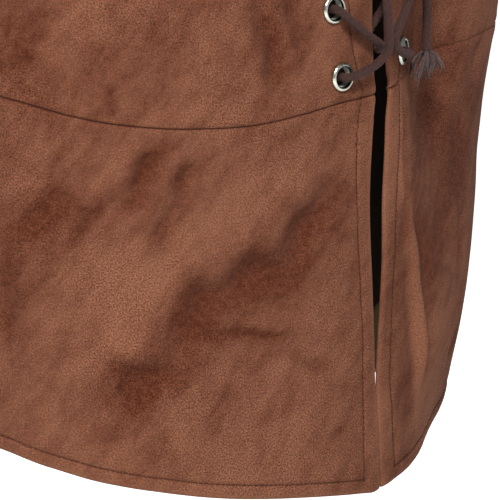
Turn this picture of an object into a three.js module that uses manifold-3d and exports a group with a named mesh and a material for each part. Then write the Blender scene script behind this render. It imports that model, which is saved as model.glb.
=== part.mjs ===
// A sleeveless laced waistcoat of napped cloth, as worn but with nobody in it.
// Millimetres, +Z up. The front faces -Y and the wearer's left is +X.
// The origin lies midway between the two points where the neck meets the shoulder seams.
import * as THREE from "three";
import { mergeVertices } from "three/addons/utils/BufferGeometryUtils.js";
import Module from "manifold-3d";

const wasm = await Module();
wasm.setup();

// Cloth and seams
const WALL = 2;
const SEAM_GAP = 0.3;
const SHOULDER_LEVEL = 20.5;
const SHOULDER_ROLL = 200;
const SIDE_SEAM = 90;
const BACK_CENTRE = 180;
const V_POINT_LEVEL = -258;
const NECK_HALF_WIDTH = 74;
const NECK_CURVE = 0.9;
const NECK_ROUND = 60;
const BACK_NECK_DROP = 42;
const BACK_NECK_SHARE = 0.2;
const WAIST_LEVEL = -455;
const HEM_LEVEL = -653.5;
const FRONT_COLUMNS = 13;
const BACK_COLUMNS = 20;
const PEPLUM_ROWS = 10;

// Eyelets and lace
const PAIRS = 6;
const EYELET_PITCH = 33;
const BORE_RADIUS = 4.75;
const BARREL_RADIUS = 5.45;
const FLANGE_RADIUS = 7;
const WASHER_RADIUS = 6.6;
const FLANGE_RISE = 1.6;
const FLANGE_ROUND = 0.5;
const WASHER_DEPTH = 3.3;
const EYELET_CLEARANCE = 0.35;
const EYELET_SIDES = 10;
const LACE_RADIUS = 2.2;
const LACE_SIDES = 8;
const LACING_STEP = 7.5;
const LACE_STEP = 9;
const OVER = 4.9; // the lace's axis above the cloth's outer face
const UNDER = -6.8; // and below it, behind the cloth

// The body's outline by level: an ellipse with its own depth in front and behind.
const SECTIONS = [
  { level: 40, halfWidth: 185, frontDepth: 130, backDepth: 118 },
  { level: -163, halfWidth: 186, frontDepth: 131, backDepth: 118 },
  { level: -268, halfWidth: 192, frontDepth: 134, backDepth: 112 },
  { level: -360, halfWidth: 191, frontDepth: 139, backDepth: 104 },
  { level: -455, halfWidth: 187, frontDepth: 141.5, backDepth: 103 },
  { level: -520, halfWidth: 184, frontDepth: 140, backDepth: 110 },
  { level: -590, halfWidth: 177, frontDepth: 139, backDepth: 119 },
  { level: -670, halfWidth: 170, frontDepth: 138, backDepth: 124 },
];

// How steeply each level falls away from the middle, as a shoulder does.
const SLOPES = [
  { level: 40, slope: 0.58 },
  { level: 20.5, slope: 0.58 },
  { level: -35, slope: 0.42 },
  { level: -85, slope: 0.24 },
  { level: -165, slope: 0.06 },
  { level: -250, slope: 0 },
  { level: -700, slope: 0 },
];

// The armhole's edge, as an angle from the front's middle; the back mirrors it.
const ARMHOLE = [
  { level: 20.5, angle: 58.7 },
  { level: -35, angle: 55.5 },
  { level: -90, angle: 53 },
  { level: -150, angle: 53.5 },
  { level: -200, angle: 58 },
  { level: -230, angle: 64 },
  { level: -250, angle: 71.5 },
  { level: -262, angle: 79.5 },
  { level: -268, angle: 90 },
];

// The levels of the bodice's rows of points, closer together round the underarm and over the shoulder.
const BODICE_ROWS = [
  -455, -420, -385, -350, -315, -288, -268, -262, -250, -230, -200, -165, -125, -85, -48, -18, 5, 16, 20.5,
];

// The two front edges, as the distance from the middle, positive towards the wearer's left.
const RIGHT_EDGE = [
  { level: -258, x: -5 },
  { level: -438, x: -6.2 },
  { level: -453, x: -5 },
  { level: -472, x: -6.3 },
  { level: -492, x: -7 },
  { level: -531, x: -5.4 },
  { level: -582, x: -1 },
  { level: -633, x: 3.4 },
  { level: -660, x: 5.3 },
];
const LEFT_EDGE = [
  { level: -258, x: 5 },
  { level: -435, x: 5 },
  { level: -455, x: 7 },
  { level: -474, x: 5.2 },
  { level: -533, x: 4.5 },
  { level: -583, x: 2.9 },
  { level: -608, x: 2.6 },
  { level: -633, x: 4.5 },
  { level: -660, x: 7.4 },
];

// The waist seam's level round each half, from the front's middle to the back's.
const RIGHT_SEAM = [
  { angle: 0, level: -455 },
  { angle: 9.2, level: -456.3 },
  { angle: 16.9, level: -458.9 },
  { angle: 25.9, level: -460.8 },
  { angle: 35.7, level: -459.5 },
  { angle: 49.7, level: -454.4 },
  { angle: 67.4, level: -442.2 },
  { angle: 90, level: -432 },
  { angle: 180, level: -435 },
];
const LEFT_SEAM = [
  { angle: 0, level: -455.5 },
  { angle: 6, level: -452 },
  { angle: 12, level: -448 },
  { angle: 20, level: -446 },
  { angle: 32, level: -444.5 },
  { angle: 47, level: -445 },
  { angle: 65, level: -440 },
  { angle: 90, level: -432 },
  { angle: 180, level: -435 },
];

// The hem's level, the same on both halves.
const HEM = [
  { angle: 0, level: -653.5 },
  { angle: 13, level: -648.1 },
  { angle: 30, level: -641.6 },
  { angle: 43, level: -634.6 },
  { angle: 52, level: -629.5 },
  { angle: 62, level: -621.8 },
  { angle: 75, level: -613 },
  { angle: 82, level: -628 },
  { angle: 90, level: -651 },
  { angle: 104, level: -661 },
  { angle: 130, level: -664 },
  { angle: 180, level: -664 },
];

// The largest folds, each a soft swell (positive depth) or trough. Angles are negative on the wearer's right.
const FOLDS = [
  { angle: 17, spread: 9, level: -440, reach: 75, depth: -14 },
  { angle: 48, spread: 12, level: -425, reach: 45, depth: 8 },
  { angle: 30, spread: 15, level: -655, reach: 55, depth: -11.5 },
  { angle: 62, spread: 18, level: -655, reach: 60, depth: -15.5 },
  { angle: -26, spread: 7, level: -590, reach: 45, depth: -3 },
  { angle: -52, spread: 8, level: -560, reach: 60, depth: -3 },
  { angle: -78, spread: 9, level: -560, reach: 70, depth: -5 },
  { angle: 82, spread: 9, level: -520, reach: 70, depth: -5 },
  { angle: 118, spread: 9, level: -620, reach: 90, depth: -8 },
  { angle: 150, spread: 10, level: -640, reach: 100, depth: 7 },
  { angle: 176, spread: 9, level: -640, reach: 100, depth: -7 },
  { angle: -154, spread: 10, level: -640, reach: 100, depth: 7 },
  { angle: -124, spread: 9, level: -620, reach: 90, depth: -8 },
  { angle: 106, spread: 9, level: -320, reach: 70, depth: -5 },
  { angle: -108, spread: 9, level: -330, reach: 70, depth: -5 },
  { angle: 150, spread: 14, level: -400, reach: 40, depth: 4 },
  { angle: -146, spread: 14, level: -410, reach: 40, depth: 4 },
];

// The lowest eyelet of each front, and how far the eyelets stand in from the edge.
const RIGHT_EYELETS = { side: -1, level: -443.5, firstInset: 22.3, inset: 27 };
const LEFT_EYELETS = { side: 1, level: -438.5, firstInset: 16.5, inset: 24 };

const CLOTH = new THREE.MeshStandardMaterial({ color: 0x7d4b37, roughness: 0.9, metalness: 0 });
const METAL = new THREE.MeshStandardMaterial({ color: 0xc8c8be, roughness: 0.25, metalness: 1 });
const LACE = new THREE.MeshStandardMaterial({ color: 0x4e3531, roughness: 0.85, metalness: 0 });

const radians = THREE.MathUtils.degToRad;
const degrees = THREE.MathUtils.radToDeg;
const lerp = THREE.MathUtils.lerp;

// One column of a table read as a smooth curve that never overshoots its rows.
function smooth(table, key, column, at) {
  const rows = table.map((row) => [row[key], row[column]]).sort((a, b) => a[0] - b[0]);
  const last = rows.length - 1;
  const place = THREE.MathUtils.clamp(at, rows[0][0], rows[last][0]);
  const slopes = rows.slice(1).map((row, i) => (row[1] - rows[i][1]) / (row[0] - rows[i][0]));
  const tangent = (i) => {
    if (i === 0) return slopes[0];
    if (i === last) return slopes[last - 1];
    const product = slopes[i - 1] * slopes[i];
    return product <= 0 ? 0 : (2 * product) / (slopes[i - 1] + slopes[i]);
  };
  let i = 0;
  while (i < last - 1 && place >= rows[i + 1][0]) i += 1;
  const [x0, y0] = rows[i];
  const [x1, y1] = rows[i + 1];
  const h = x1 - x0;
  const u = (place - x0) / h;
  return (
    y0 * (1 + 2 * u) * (1 - u) ** 2 +
    h * tangent(i) * u * (1 - u) ** 2 +
    y1 * u * u * (3 - 2 * u) +
    h * tangent(i + 1) * u * u * (u - 1)
  );
}

// The plain outline without folds. Angles are degrees from the front's middle to the wearer's left.
function outline(angle, level) {
  const share = THREE.MathUtils.clamp((SHOULDER_LEVEL - level) / SHOULDER_ROLL, 0, 1);
  const roll = Math.sqrt(1 - (1 - share) ** 2);
  const depthName = Math.cos(radians(angle)) >= 0 ? "frontDepth" : "backDepth";
  const depth = smooth(SECTIONS, "level", depthName, level) * roll + SEAM_GAP;
  const halfWidth = smooth(SECTIONS, "level", "halfWidth", level);
  return new THREE.Vector2(halfWidth * Math.sin(radians(angle)), -depth * Math.cos(radians(angle)));
}

function foldDepth(angle, level) {
  const turned = angle > BACK_CENTRE ? angle - 2 * BACK_CENTRE : angle;
  let sum = 0;
  for (const fold of FOLDS) {
    const across = (turned - fold.angle) / fold.spread;
    const along = (level - fold.level) / fold.reach;
    sum += fold.depth * Math.exp(-(across ** 2) - along ** 2);
  }
  return sum;
}

// A point on the cloth's outer face, or a stated distance outside it.
function clothPoint(angle, level, standoff = 0) {
  const step = 0.05;
  const here = outline(angle, level);
  const along = outline(angle + step, level).sub(outline(angle - step, level)).normalize();
  const proud = foldDepth(angle, level) + standoff;
  const x = here.x + proud * along.y;
  const y = here.y - proud * along.x;
  const out = Math.hypot(x, NECK_ROUND) - NECK_ROUND;
  return new THREE.Vector3(x, y, level - smooth(SLOPES, "level", "slope", level) * out);
}

// The outward direction. It lies in the plane of a side or shoulder seam, so that two walls meet flush.
function clothNormal(angle, level) {
  const step = 0.5;
  const round = clothPoint(angle + step, level).sub(clothPoint(angle - step, level));
  const up = clothPoint(angle, level).sub(clothPoint(angle, level - step));
  const normal = round.cross(up).normalize();
  const nearSide = Math.abs(Math.abs(Math.sin(radians(angle))) - 1) < 1e-4;
  if (nearSide || level > SHOULDER_LEVEL - 1e-3) normal.y = 0;
  return normal.normalize();
}

// A closed wall over a grid: place(u, rise) gives the angle and level, u from 0 to 1 round the body
// and a row of points at each of the rises, from 0 at the bottom to 1 at the top.
function wall(columns, rises, place) {
  const rows = rises.length - 1;
  const outer = [];
  const inner = [];
  for (let j = 0; j <= rows; j += 1) {
    for (let i = 0; i <= columns; i += 1) {
      const [angle, level] = place(i / columns, rises[j]);
      const point = clothPoint(angle, level);
      outer.push(point);
      inner.push(point.clone().addScaledVector(clothNormal(angle, level), -WALL));
    }
  }
  const offset = outer.length;
  const at = (i, j) => j * (columns + 1) + i;
  const index = [];
  const quad = (a, b, c, d) => index.push(a, b, c, a, c, d);
  for (let j = 0; j < rows; j += 1) {
    for (let i = 0; i < columns; i += 1) {
      const corners = [at(i, j), at(i + 1, j), at(i + 1, j + 1), at(i, j + 1)];
      quad(...corners);
      quad(...corners.reverse().map((corner) => corner + offset));
    }
  }
  const border = (a, b) => quad(a, a + offset, b + offset, b);
  for (let i = 0; i < columns; i += 1) {
    border(at(i, 0), at(i + 1, 0));
    border(at(i + 1, rows), at(i, rows));
  }
  for (let j = 0; j < rows; j += 1) {
    border(at(0, j + 1), at(0, j));
    border(at(columns, j), at(columns, j + 1));
  }
  const geometry = new THREE.BufferGeometry().setFromPoints([...outer, ...inner]);
  geometry.setIndex(index);
  return geometry;
}

// The angle of a front's free edge: the lacing edge below the V, the neckline above it.
function edgeAngle(side, level) {
  const halfWidth = smooth(SECTIONS, "level", "halfWidth", level);
  if (level <= V_POINT_LEVEL) {
    const x = smooth(side > 0 ? LEFT_EDGE : RIGHT_EDGE, "level", "x", level);
    return side * degrees(Math.asin(x / halfWidth));
  }
  const share = (level - V_POINT_LEVEL) / (SHOULDER_LEVEL - V_POINT_LEVEL);
  const x = lerp(LEFT_EDGE[0].x, NECK_HALF_WIDTH, share ** NECK_CURVE);
  return degrees(Math.asin(x / halfWidth));
}

// The side seam below the underarm and the armhole above it, half a seam gap inside.
function sideAngle(level) {
  const depth = smooth(SECTIONS, "level", "frontDepth", level);
  const inset = degrees(SEAM_GAP / 2 / depth);
  return Math.min(smooth(ARMHOLE, "level", "angle", level), SIDE_SEAM - inset);
}

function seamLevel(angle) {
  const turned = angle > BACK_CENTRE ? angle - 2 * BACK_CENTRE : angle;
  return smooth(turned > 0 ? LEFT_SEAM : RIGHT_SEAM, "angle", "level", Math.abs(turned));
}

function hemLevel(angle) {
  const turned = angle > BACK_CENTRE ? angle - 2 * BACK_CENTRE : angle;
  return smooth(HEM, "angle", "level", Math.abs(turned));
}

const bodiceRises = BODICE_ROWS.map((level) => (level - WAIST_LEVEL) / (SHOULDER_LEVEL - WAIST_LEVEL));
const peplumRises = Array.from({ length: PEPLUM_ROWS + 1 }, (_, j) => j / PEPLUM_ROWS);

function frontPanel(side) {
  return wall(FRONT_COLUMNS, bodiceRises, (u, rise) => {
    const nominal = lerp(WAIST_LEVEL, SHOULDER_LEVEL, rise);
    const across = side > 0 ? u : 1 - u;
    const angle = side * lerp(edgeAngle(side, nominal), sideAngle(nominal), across);
    return [angle, lerp(seamLevel(angle) + SEAM_GAP / 2, SHOULDER_LEVEL, rise)];
  });
}

function backPanel() {
  return wall(BACK_COLUMNS, bodiceRises, (u, rise) => {
    const nominal = lerp(WAIST_LEVEL, SHOULDER_LEVEL, rise);
    const side = sideAngle(nominal);
    const angle = lerp(BACK_CENTRE - side, BACK_CENTRE + side, u);
    const fromMiddle = Math.min(Math.abs(u - 0.5) / BACK_NECK_SHARE, 1);
    const top = SHOULDER_LEVEL - BACK_NECK_DROP * Math.sqrt(1 - fromMiddle ** 2);
    return [angle, lerp(seamLevel(angle) + SEAM_GAP / 2, top, rise)];
  });
}

// The peplum's top row has the angles of the bodice's bottom row, so the waist seam's gap is even.
function peplumFront(side) {
  return wall(FRONT_COLUMNS, peplumRises, (u, rise) => {
    const nominal = lerp(HEM_LEVEL, WAIST_LEVEL, rise);
    const across = side > 0 ? u : 1 - u;
    const angle = side * lerp(edgeAngle(side, nominal), sideAngle(WAIST_LEVEL), across);
    return [angle, lerp(hemLevel(angle), seamLevel(angle) - SEAM_GAP / 2, rise)];
  });
}

function peplumBack() {
  return wall(BACK_COLUMNS, peplumRises, (u, rise) => {
    const side = sideAngle(WAIST_LEVEL);
    const angle = lerp(BACK_CENTRE - side, BACK_CENTRE + side, u);
    return [angle, lerp(hemLevel(angle), seamLevel(angle) - SEAM_GAP / 2, rise)];
  });
}

function toSolid(geometry) {
  const bare = geometry.clone();
  bare.deleteAttribute("normal");
  bare.deleteAttribute("uv");
  const merged = mergeVertices(bare, 1e-4);
  const vertProperties = new Float32Array(merged.attributes.position.array);
  const triVerts = new Uint32Array(merged.index.array);
  return new wasm.Manifold(new wasm.Mesh({ numProp: 3, vertProperties, triVerts }));
}

function toGeometry(solid) {
  const mesh = solid.getMesh();
  const geometry = new THREE.BufferGeometry();
  geometry.setAttribute("position", new THREE.BufferAttribute(new Float32Array(mesh.vertProperties), 3));
  geometry.setIndex(new THREE.BufferAttribute(new Uint32Array(mesh.triVerts), 1));
  return geometry;
}

// Where the eyelet of a pair sits, counted from the waist up.
function eyeletSeat(row, pair) {
  const level = row.level + pair * EYELET_PITCH;
  const inset = pair === 0 ? row.firstInset : row.inset;
  const edge = smooth(row.side > 0 ? LEFT_EDGE : RIGHT_EDGE, "level", "x", level);
  const x = edge + row.side * inset;
  return { angle: degrees(Math.asin(x / smooth(SECTIONS, "level", "halfWidth", level))), level };
}

// A ring or plug turned round the eyelet's axis, which points out of the cloth.
function turned(profile, sides, seat) {
  const points = profile.map(([radius, height]) => new THREE.Vector2(radius, height));
  const geometry = new THREE.LatheGeometry(points, sides);
  const axis = clothNormal(seat.angle, seat.level);
  const turn = new THREE.Quaternion().setFromUnitVectors(new THREE.Vector3(0, 1, 0), axis);
  geometry.applyQuaternion(turn);
  const place = clothPoint(seat.angle, seat.level);
  return geometry.translate(place.x, place.y, place.z);
}

function eyelet(seat) {
  const back = -WALL - EYELET_CLEARANCE;
  const ring = [
    [BORE_RADIUS, -WASHER_DEPTH],
    [WASHER_RADIUS, -WASHER_DEPTH],
    [WASHER_RADIUS, back],
    [BARREL_RADIUS, back],
    [BARREL_RADIUS, EYELET_CLEARANCE],
    [FLANGE_RADIUS, EYELET_CLEARANCE],
    [FLANGE_RADIUS - FLANGE_ROUND, FLANGE_RISE - FLANGE_ROUND],
    [BARREL_RADIUS, FLANGE_RISE],
    [BORE_RADIUS, FLANGE_RISE - FLANGE_ROUND],
    [BORE_RADIUS, -WASHER_DEPTH],
  ];
  return turned(ring, EYELET_SIDES, seat);
}

// What an eyelet takes out of the cloth: its hole, and a flat seat on each face.
function eyeletCut(seat) {
  const reach = 10;
  const hole = BARREL_RADIUS + SEAM_GAP;
  const rim = FLANGE_RADIUS + SEAM_GAP;
  const plug = [
    [0, -reach],
    [rim, -reach],
    [rim, -WALL],
    [hole, -WALL],
    [hole, 0],
    [rim, 0],
    [rim, reach],
    [0, reach],
  ];
  return toSolid(turned(plug, EYELET_SIDES, seat));
}

function punched(geometry, row) {
  let solid = toSolid(geometry);
  for (let pair = 0; pair < PAIRS; pair += 1) solid = solid.subtract(eyeletCut(eyeletSeat(row, pair)));
  return toGeometry(solid);
}

// A round cord along a smooth curve through its points.
function cord(points, step, radius = LACE_RADIUS, sides = LACE_SIDES) {
  const path = new THREE.CatmullRomCurve3(points);
  const section = new THREE.Shape();
  for (let i = 0; i < sides; i += 1) {
    const turn = (i / sides) * 2 * Math.PI;
    const corner = [radius * Math.cos(turn), radius * Math.sin(turn)];
    if (i === 0) section.moveTo(...corner);
    else section.lineTo(...corner);
  }
  section.closePath();
  const steps = Math.max(2, Math.round(path.getLength() / step));
  return new THREE.ExtrudeGeometry(section, { steps, extrudePath: path, curveSegments: 1 });
}

const seatPoint = (seat, standoff) => clothPoint(seat.angle, seat.level, standoff);
const BEND_RISE = 0.2;

function between(from, to, share, standoff, sag = 0) {
  const angle = lerp(from.angle, to.angle, share);
  return clothPoint(angle, lerp(from.level, to.level, share) - sag, standoff);
}

// The lace lies on one face of the cloth from eyelet to eyelet, then turns through the bore.
function faceRun(from, to, height) {
  const near = height + Math.sign(height) * BEND_RISE;
  const shares = [0.11, 0.3, 0.5, 0.7, 0.89];
  return shares.map((share, i) => between(from, to, share, i === 0 || i === 4 ? near : height));
}

// The lace leaves one eyelet outside and dives under the other front's edge to come up through its eyelet.
function diveRun(from, to) {
  const middle = Math.abs(from.angle) / (Math.abs(from.angle) + Math.abs(to.angle));
  const steps = [
    { share: 0.11, height: OVER + BEND_RISE, sag: 2.5 },
    { share: middle / 2, height: OVER, sag: 5 },
    { share: middle - 0.1, height: 3.6, sag: 6 },
    { share: middle, height: -0.8, sag: 6.5 },
    { share: middle + 0.09, height: -5.6, sag: 5 },
    { share: 0.9, height: UNDER, sag: 1 },
  ];
  return steps.map(({ share, height, sag }) => between(from, to, share, height, sag));
}

const BORE_HEIGHTS = [-4.6, -1, 2.8];
const outThrough = (seat) => BORE_HEIGHTS.map((height) => seatPoint(seat, height));
const inThrough = (seat) => outThrough(seat).reverse();

// The lacing from the wearer's right lowest eyelet up one way, across the top and down the other way.
function lacingPoints() {
  const r = Array.from({ length: PAIRS }, (_, pair) => eyeletSeat(RIGHT_EYELETS, pair));
  const l = Array.from({ length: PAIRS }, (_, pair) => eyeletSeat(LEFT_EYELETS, pair));
  return [
    ...inThrough(r[0]).slice(1),
    ...faceRun(r[0], l[1], UNDER),
    ...outThrough(l[1]),
    ...faceRun(l[1], r[2], OVER),
    ...inThrough(r[2]),
    ...faceRun(r[2], l[3], UNDER),
    ...outThrough(l[3]),
    ...faceRun(l[3], r[4], OVER),
    ...inThrough(r[4]),
    ...faceRun(r[4], l[5], UNDER),
    ...outThrough(l[5]),
    ...diveRun(l[5], r[5]),
    ...outThrough(r[5]),
    ...faceRun(r[5], l[4], OVER),
    ...inThrough(l[4]),
    ...faceRun(l[4], r[3], UNDER),
    ...outThrough(r[3]),
    ...faceRun(r[3], l[2], OVER),
    ...inThrough(l[2]),
    ...faceRun(l[2], r[1], UNDER),
    ...outThrough(r[1]),
    ...diveRun(r[1], l[0]),
    ...outThrough(l[0]).slice(0, 2),
  ];
}

// The lace's two ends, from the lowest eyelets up to the bow.
const RIGHT_END = [
  [-26.2, -145, -442.9],
  [-20.7, -146, -441.8],
  [-12.7, -147.2, -439.3],
  [-8.8, -148.8, -436.2],
  [-7.2, -151, -431.9],
  [-7.9, -152.2, -427],
  [-9.3, -152.4, -417],
  [-10, -151.9, -407.8],
  [-8, -150.5, -395],
  [-2.5, -149, -381],
  [5, -149, -369],
  [12, -150, -360],
];
const LEFT_END = [
  [18.2, -143.8, -438.4],
  [12.4, -145.4, -437.4],
  [6.6, -146.4, -434.8],
  [2.8, -147.2, -430.4],
  [3.8, -147.6, -425],
  [7.4, -147.2, -420.4],
  [11.4, -146.4, -416],
  [13.7, -147.4, -410],
  [14.6, -149.8, -401],
  [15.4, -149.8, -391],
  [16, -148.8, -379],
  [16, -148.6, -369],
  [14.5, -150, -359],
];
const RIGHT_LOOP = [
  [12, -150.5, -355],
  [5, -151.5, -351],
  [-4, -152, -348.5],
  [-15, -151.5, -351.5],
  [-24, -150, -360],
  [-28, -148.5, -373],
  [-23, -149, -384],
  [-14.5, -151.5, -380],
  [-5.5, -155, -368],
  [4, -156, -359.5],
  [12, -152.5, -357],
];
const LEFT_LOOP = [
  [16, -150.5, -355],
  [23, -151.5, -350.5],
  [32, -151, -348.5],
  [43, -149, -353],
  [51, -146, -363],
  [53, -144, -376],
  [46, -146, -385],
  [38.5, -150.5, -379],
  [32.5, -155.5, -368.5],
  [24.5, -156, -360],
  [16, -152.5, -357],
];
const LEFT_TAIL = [
  [16, -150, -357],
  [22.5, -149.6, -359.5],
  [28, -148.8, -366],
  [31.2, -146.6, -377],
  [33.2, -143.6, -391],
  [34.6, -141.4, -406],
  [35.5, -140.4, -422],
  [36.2, -140, -441],
];
const RIGHT_TAIL = [
  [13, -151, -358],
  [11, -155.5, -364],
  [8.8, -158, -372],
  [7, -158.6, -381],
  [6, -158.4, -389],
];

const KNOT = { centre: [14, -150.5, -357], halfWidth: 8, halfDepth: 5.5, halfHeight: 6.2 };

function knotBall(grown) {
  const ball = new THREE.SphereGeometry(1, 12, 8);
  ball.scale(KNOT.halfWidth + grown, KNOT.halfDepth + grown, KNOT.halfHeight + grown);
  return toSolid(ball.translate(...KNOT.centre));
}

// Each strand of the bow ends just short of the knot.
function trimmed(points) {
  const whole = toSolid(cord(points, LACE_STEP)).subtract(knotBall(SEAM_GAP));
  const pieces = whole.decompose().sort((a, b) => b.volume() - a.volume());
  return toGeometry(pieces[0]);
}

const vectors = (rows) => rows.map((row) => new THREE.Vector3(...row));

function laceEnd(row, points) {
  const seat = eyeletSeat(row, 0);
  return trimmed([seatPoint(seat, -1 + SEAM_GAP), seatPoint(seat, 2.2), ...vectors(points)]);
}

// A frayed end: a short head on the cord's end, with strands that spread as they fall.
const HEAD_RADIUS = 2.6;
const HEAD_TAPER = 0.3;
const HEAD_LENGTH = 4;
const STRAND_RADIUS = 0.42;
const STRAND_ROOT = 0.8;
const FRAY_RINGS = [
  { strands: 5, radius: 0.9 },
  { strands: 9, radius: 1.8 },
];

// flatness squeezes the spread front to back, and some strands are a little shorter or closer in.
function frayedEnd(points, { length, spread, flatness }) {
  const top = new THREE.Vector3(...points[points.length - 1]);
  top.z -= SEAM_GAP;
  const head = new THREE.CylinderGeometry(HEAD_RADIUS - HEAD_TAPER, HEAD_RADIUS, HEAD_LENGTH, LACE_SIDES);
  head.rotateX(Math.PI / 2).translate(top.x, top.y, top.z - HEAD_LENGTH / 2);
  let solid = toSolid(head);
  FRAY_RINGS.forEach((ring, ringIndex) => {
    for (let i = 0; i < ring.strands; i += 1) {
      const turn = ((i + ringIndex / 2) / ring.strands) * 2 * Math.PI;
      const out = new THREE.Vector3(Math.cos(turn), Math.sin(turn) * flatness, 0);
      const reach = (ring.radius / HEAD_RADIUS) * spread * (i % 2 ? 1.1 : 0.9);
      const fall = length * (i % 3 ? 1 : 0.85);
      const root = top.clone().addScaledVector(out, ring.radius);
      root.z -= HEAD_LENGTH - STRAND_ROOT;
      const bend = root.clone().addScaledVector(out, reach * 0.65);
      bend.z -= fall * 0.4;
      const tip = root.clone().addScaledVector(out, reach);
      tip.z -= fall;
      solid = solid.add(toSolid(cord([root, bend, tip], fall / 2, STRAND_RADIUS, 3)));
    }
  });
  return toGeometry(solid);
}

const part = new THREE.Group();

function add(name, geometry, material) {
  const mesh = new THREE.Mesh(geometry, material);
  mesh.name = name;
  part.add(mesh);
}

add("front_right", punched(frontPanel(-1), RIGHT_EYELETS), CLOTH);
add("front_left", punched(frontPanel(1), LEFT_EYELETS), CLOTH);
add("back", backPanel(), CLOTH);
add("peplum_front_right", peplumFront(-1), CLOTH);
add("peplum_front_left", peplumFront(1), CLOTH);
add("peplum_back", peplumBack(), CLOTH);

for (let pair = 0; pair < PAIRS; pair += 1) {
  add(`eyelet_right_${pair + 1}`, eyelet(eyeletSeat(RIGHT_EYELETS, pair)), METAL);
  add(`eyelet_left_${pair + 1}`, eyelet(eyeletSeat(LEFT_EYELETS, pair)), METAL);
}

add("lacing", cord(lacingPoints(), LACING_STEP), LACE);
add("lace_end_right", laceEnd(RIGHT_EYELETS, RIGHT_END), LACE);
add("lace_end_left", laceEnd(LEFT_EYELETS, LEFT_END), LACE);
add("bow_knot", toGeometry(knotBall(0)), LACE);
add("bow_loop_right", trimmed(vectors(RIGHT_LOOP)), LACE);
add("bow_loop_left", trimmed(vectors(LEFT_LOOP)), LACE);
add("lace_tail_right", trimmed(vectors(RIGHT_TAIL)), LACE);
add("lace_tail_left", trimmed(vectors(LEFT_TAIL)), LACE);
add("tassel_left", frayedEnd(LEFT_TAIL, { length: 17, spread: 8.5, flatness: 0.35 }), LACE);
add("tassel_right", frayedEnd(RIGHT_TAIL, { length: 10, spread: 5, flatness: 0.5 }), LACE);

export default part;
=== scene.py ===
"""A sleeveless laced waistcoat of brown suede cloth, hollow as worn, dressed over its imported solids.

The row frame is in metres, +Z up. The front faces -Y and the wearer's left is +X.
Tables and the cloth's own functions are in millimetres and degrees, and MM turns them into metres.
"""
import math

import bpy
import numpy as np
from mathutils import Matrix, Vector
from mathutils.bvhtree import BVHTree


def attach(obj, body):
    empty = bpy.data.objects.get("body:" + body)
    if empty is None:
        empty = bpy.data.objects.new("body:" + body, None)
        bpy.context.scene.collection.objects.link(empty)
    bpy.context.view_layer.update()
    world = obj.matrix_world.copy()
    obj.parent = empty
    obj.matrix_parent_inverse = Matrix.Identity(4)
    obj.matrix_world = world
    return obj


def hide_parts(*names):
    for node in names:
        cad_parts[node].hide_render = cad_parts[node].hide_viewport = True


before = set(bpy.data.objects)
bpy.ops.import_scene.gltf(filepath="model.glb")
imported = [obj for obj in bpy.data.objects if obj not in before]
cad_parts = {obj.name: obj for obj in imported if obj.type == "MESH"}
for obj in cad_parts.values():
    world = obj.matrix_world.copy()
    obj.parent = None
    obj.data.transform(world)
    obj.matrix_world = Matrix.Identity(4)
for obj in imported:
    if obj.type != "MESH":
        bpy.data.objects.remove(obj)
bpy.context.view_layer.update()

MM = 0.001

# Camera
CAMERA_TARGET = (-0.0562, -0.1064, -0.5274)
CAMERA_AZIMUTH = -50.0
CAMERA_ELEVATION = 13.0
CAMERA_DISTANCE = 2.4
CAMERA_LENS = 362.9
CAMERA_SENSOR = 36.0
CAMERA_REACH = 60.0

# Floor and light
FLOOR_LEVEL = -1.25
FLOOR_SIZE = 14.0
WORLD_LIGHT = 0.2
LIGHT_AIM = (0, 0, -0.45)
# name, place, size, power
LIGHTS = [
    ("key_light", (-1.6, -1.4, 1.5), 0.6, 121),
    ("fill_light", (-0.6, -3.0, 0.2), 2.2, 4),
    ("back_light", (0.6, 2.6, 1.4), 2.2, 18),
]

# Cloth
SHOULDER_LEVEL = 20.5
SHOULDER_ROLL = 200.0
SEAM_GAP = 0.03
SIDE_SEAM = 90.0
BACK_CENTRE = 180.0
V_POINT_LEVEL = -258.0
NECK_HALF_WIDTH = 74.0
NECK_CURVE = 0.9
NECK_ROUND = 60.0
BACK_NECK_DROP = 42.0
BACK_NECK_SHARE = 0.2
WAIST_LEVEL = -455.0
HEM_LEVEL = -653.5
UNDERARM_LEVEL = -268.0
CLOTH_THICK = 1.2
TURNED_THICK = 2.1
EDGE_INSET = 0.7

# level, half width, depth in front, depth behind
SECTIONS = [
    (40, 185, 130, 118),
    (-163, 186, 131, 118),
    (-268, 192, 134, 112),
    (-360, 191, 139, 104),
    (-455, 187, 141.5, 103),
    (-520, 184, 140, 110),
    (-590, 177, 139, 119),
    (-670, 170, 138, 124),
]
# level, fall of the shoulder for each millimetre out
SLOPES = [(40, 0.58), (20.5, 0.58), (-35, 0.42), (-85, 0.24), (-165, 0.06), (-250, 0), (-700, 0)]
# level, angle of the armhole's edge from the front's middle
ARMHOLE = [
    (20.5, 58.7), (-35, 55.5), (-90, 53), (-150, 53.5), (-200, 58),
    (-230, 64), (-250, 71.5), (-262, 79.5), (-268, 90),
]
# level, how far the front edge stands from the middle, on the wearer's right and left
RIGHT_EDGE = [
    (-258, -5), (-438, -6.2), (-453, -5), (-472, -6.3), (-492, -7),
    (-531, -5.4), (-582, -1), (-633, 3.4), (-660, 5.3),
]
LEFT_EDGE = [
    (-258, 5), (-435, 5), (-455, 7), (-474, 5.2), (-533, 4.5),
    (-583, 2.9), (-608, 2.6), (-633, 4.5), (-660, 7.4),
]
# angle, level of the waist seam, on the wearer's right and left
RIGHT_SEAM = [
    (0, -455), (9.2, -456.3), (16.9, -458.9), (25.9, -460.8), (35.7, -459.5),
    (49.7, -454.4), (67.4, -442.2), (90, -432), (180, -435),
]
LEFT_SEAM = [
    (0, -455.5), (6, -452), (12, -448), (20, -446), (32, -444.5),
    (47, -445), (65, -440), (90, -432), (180, -435),
]
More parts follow.
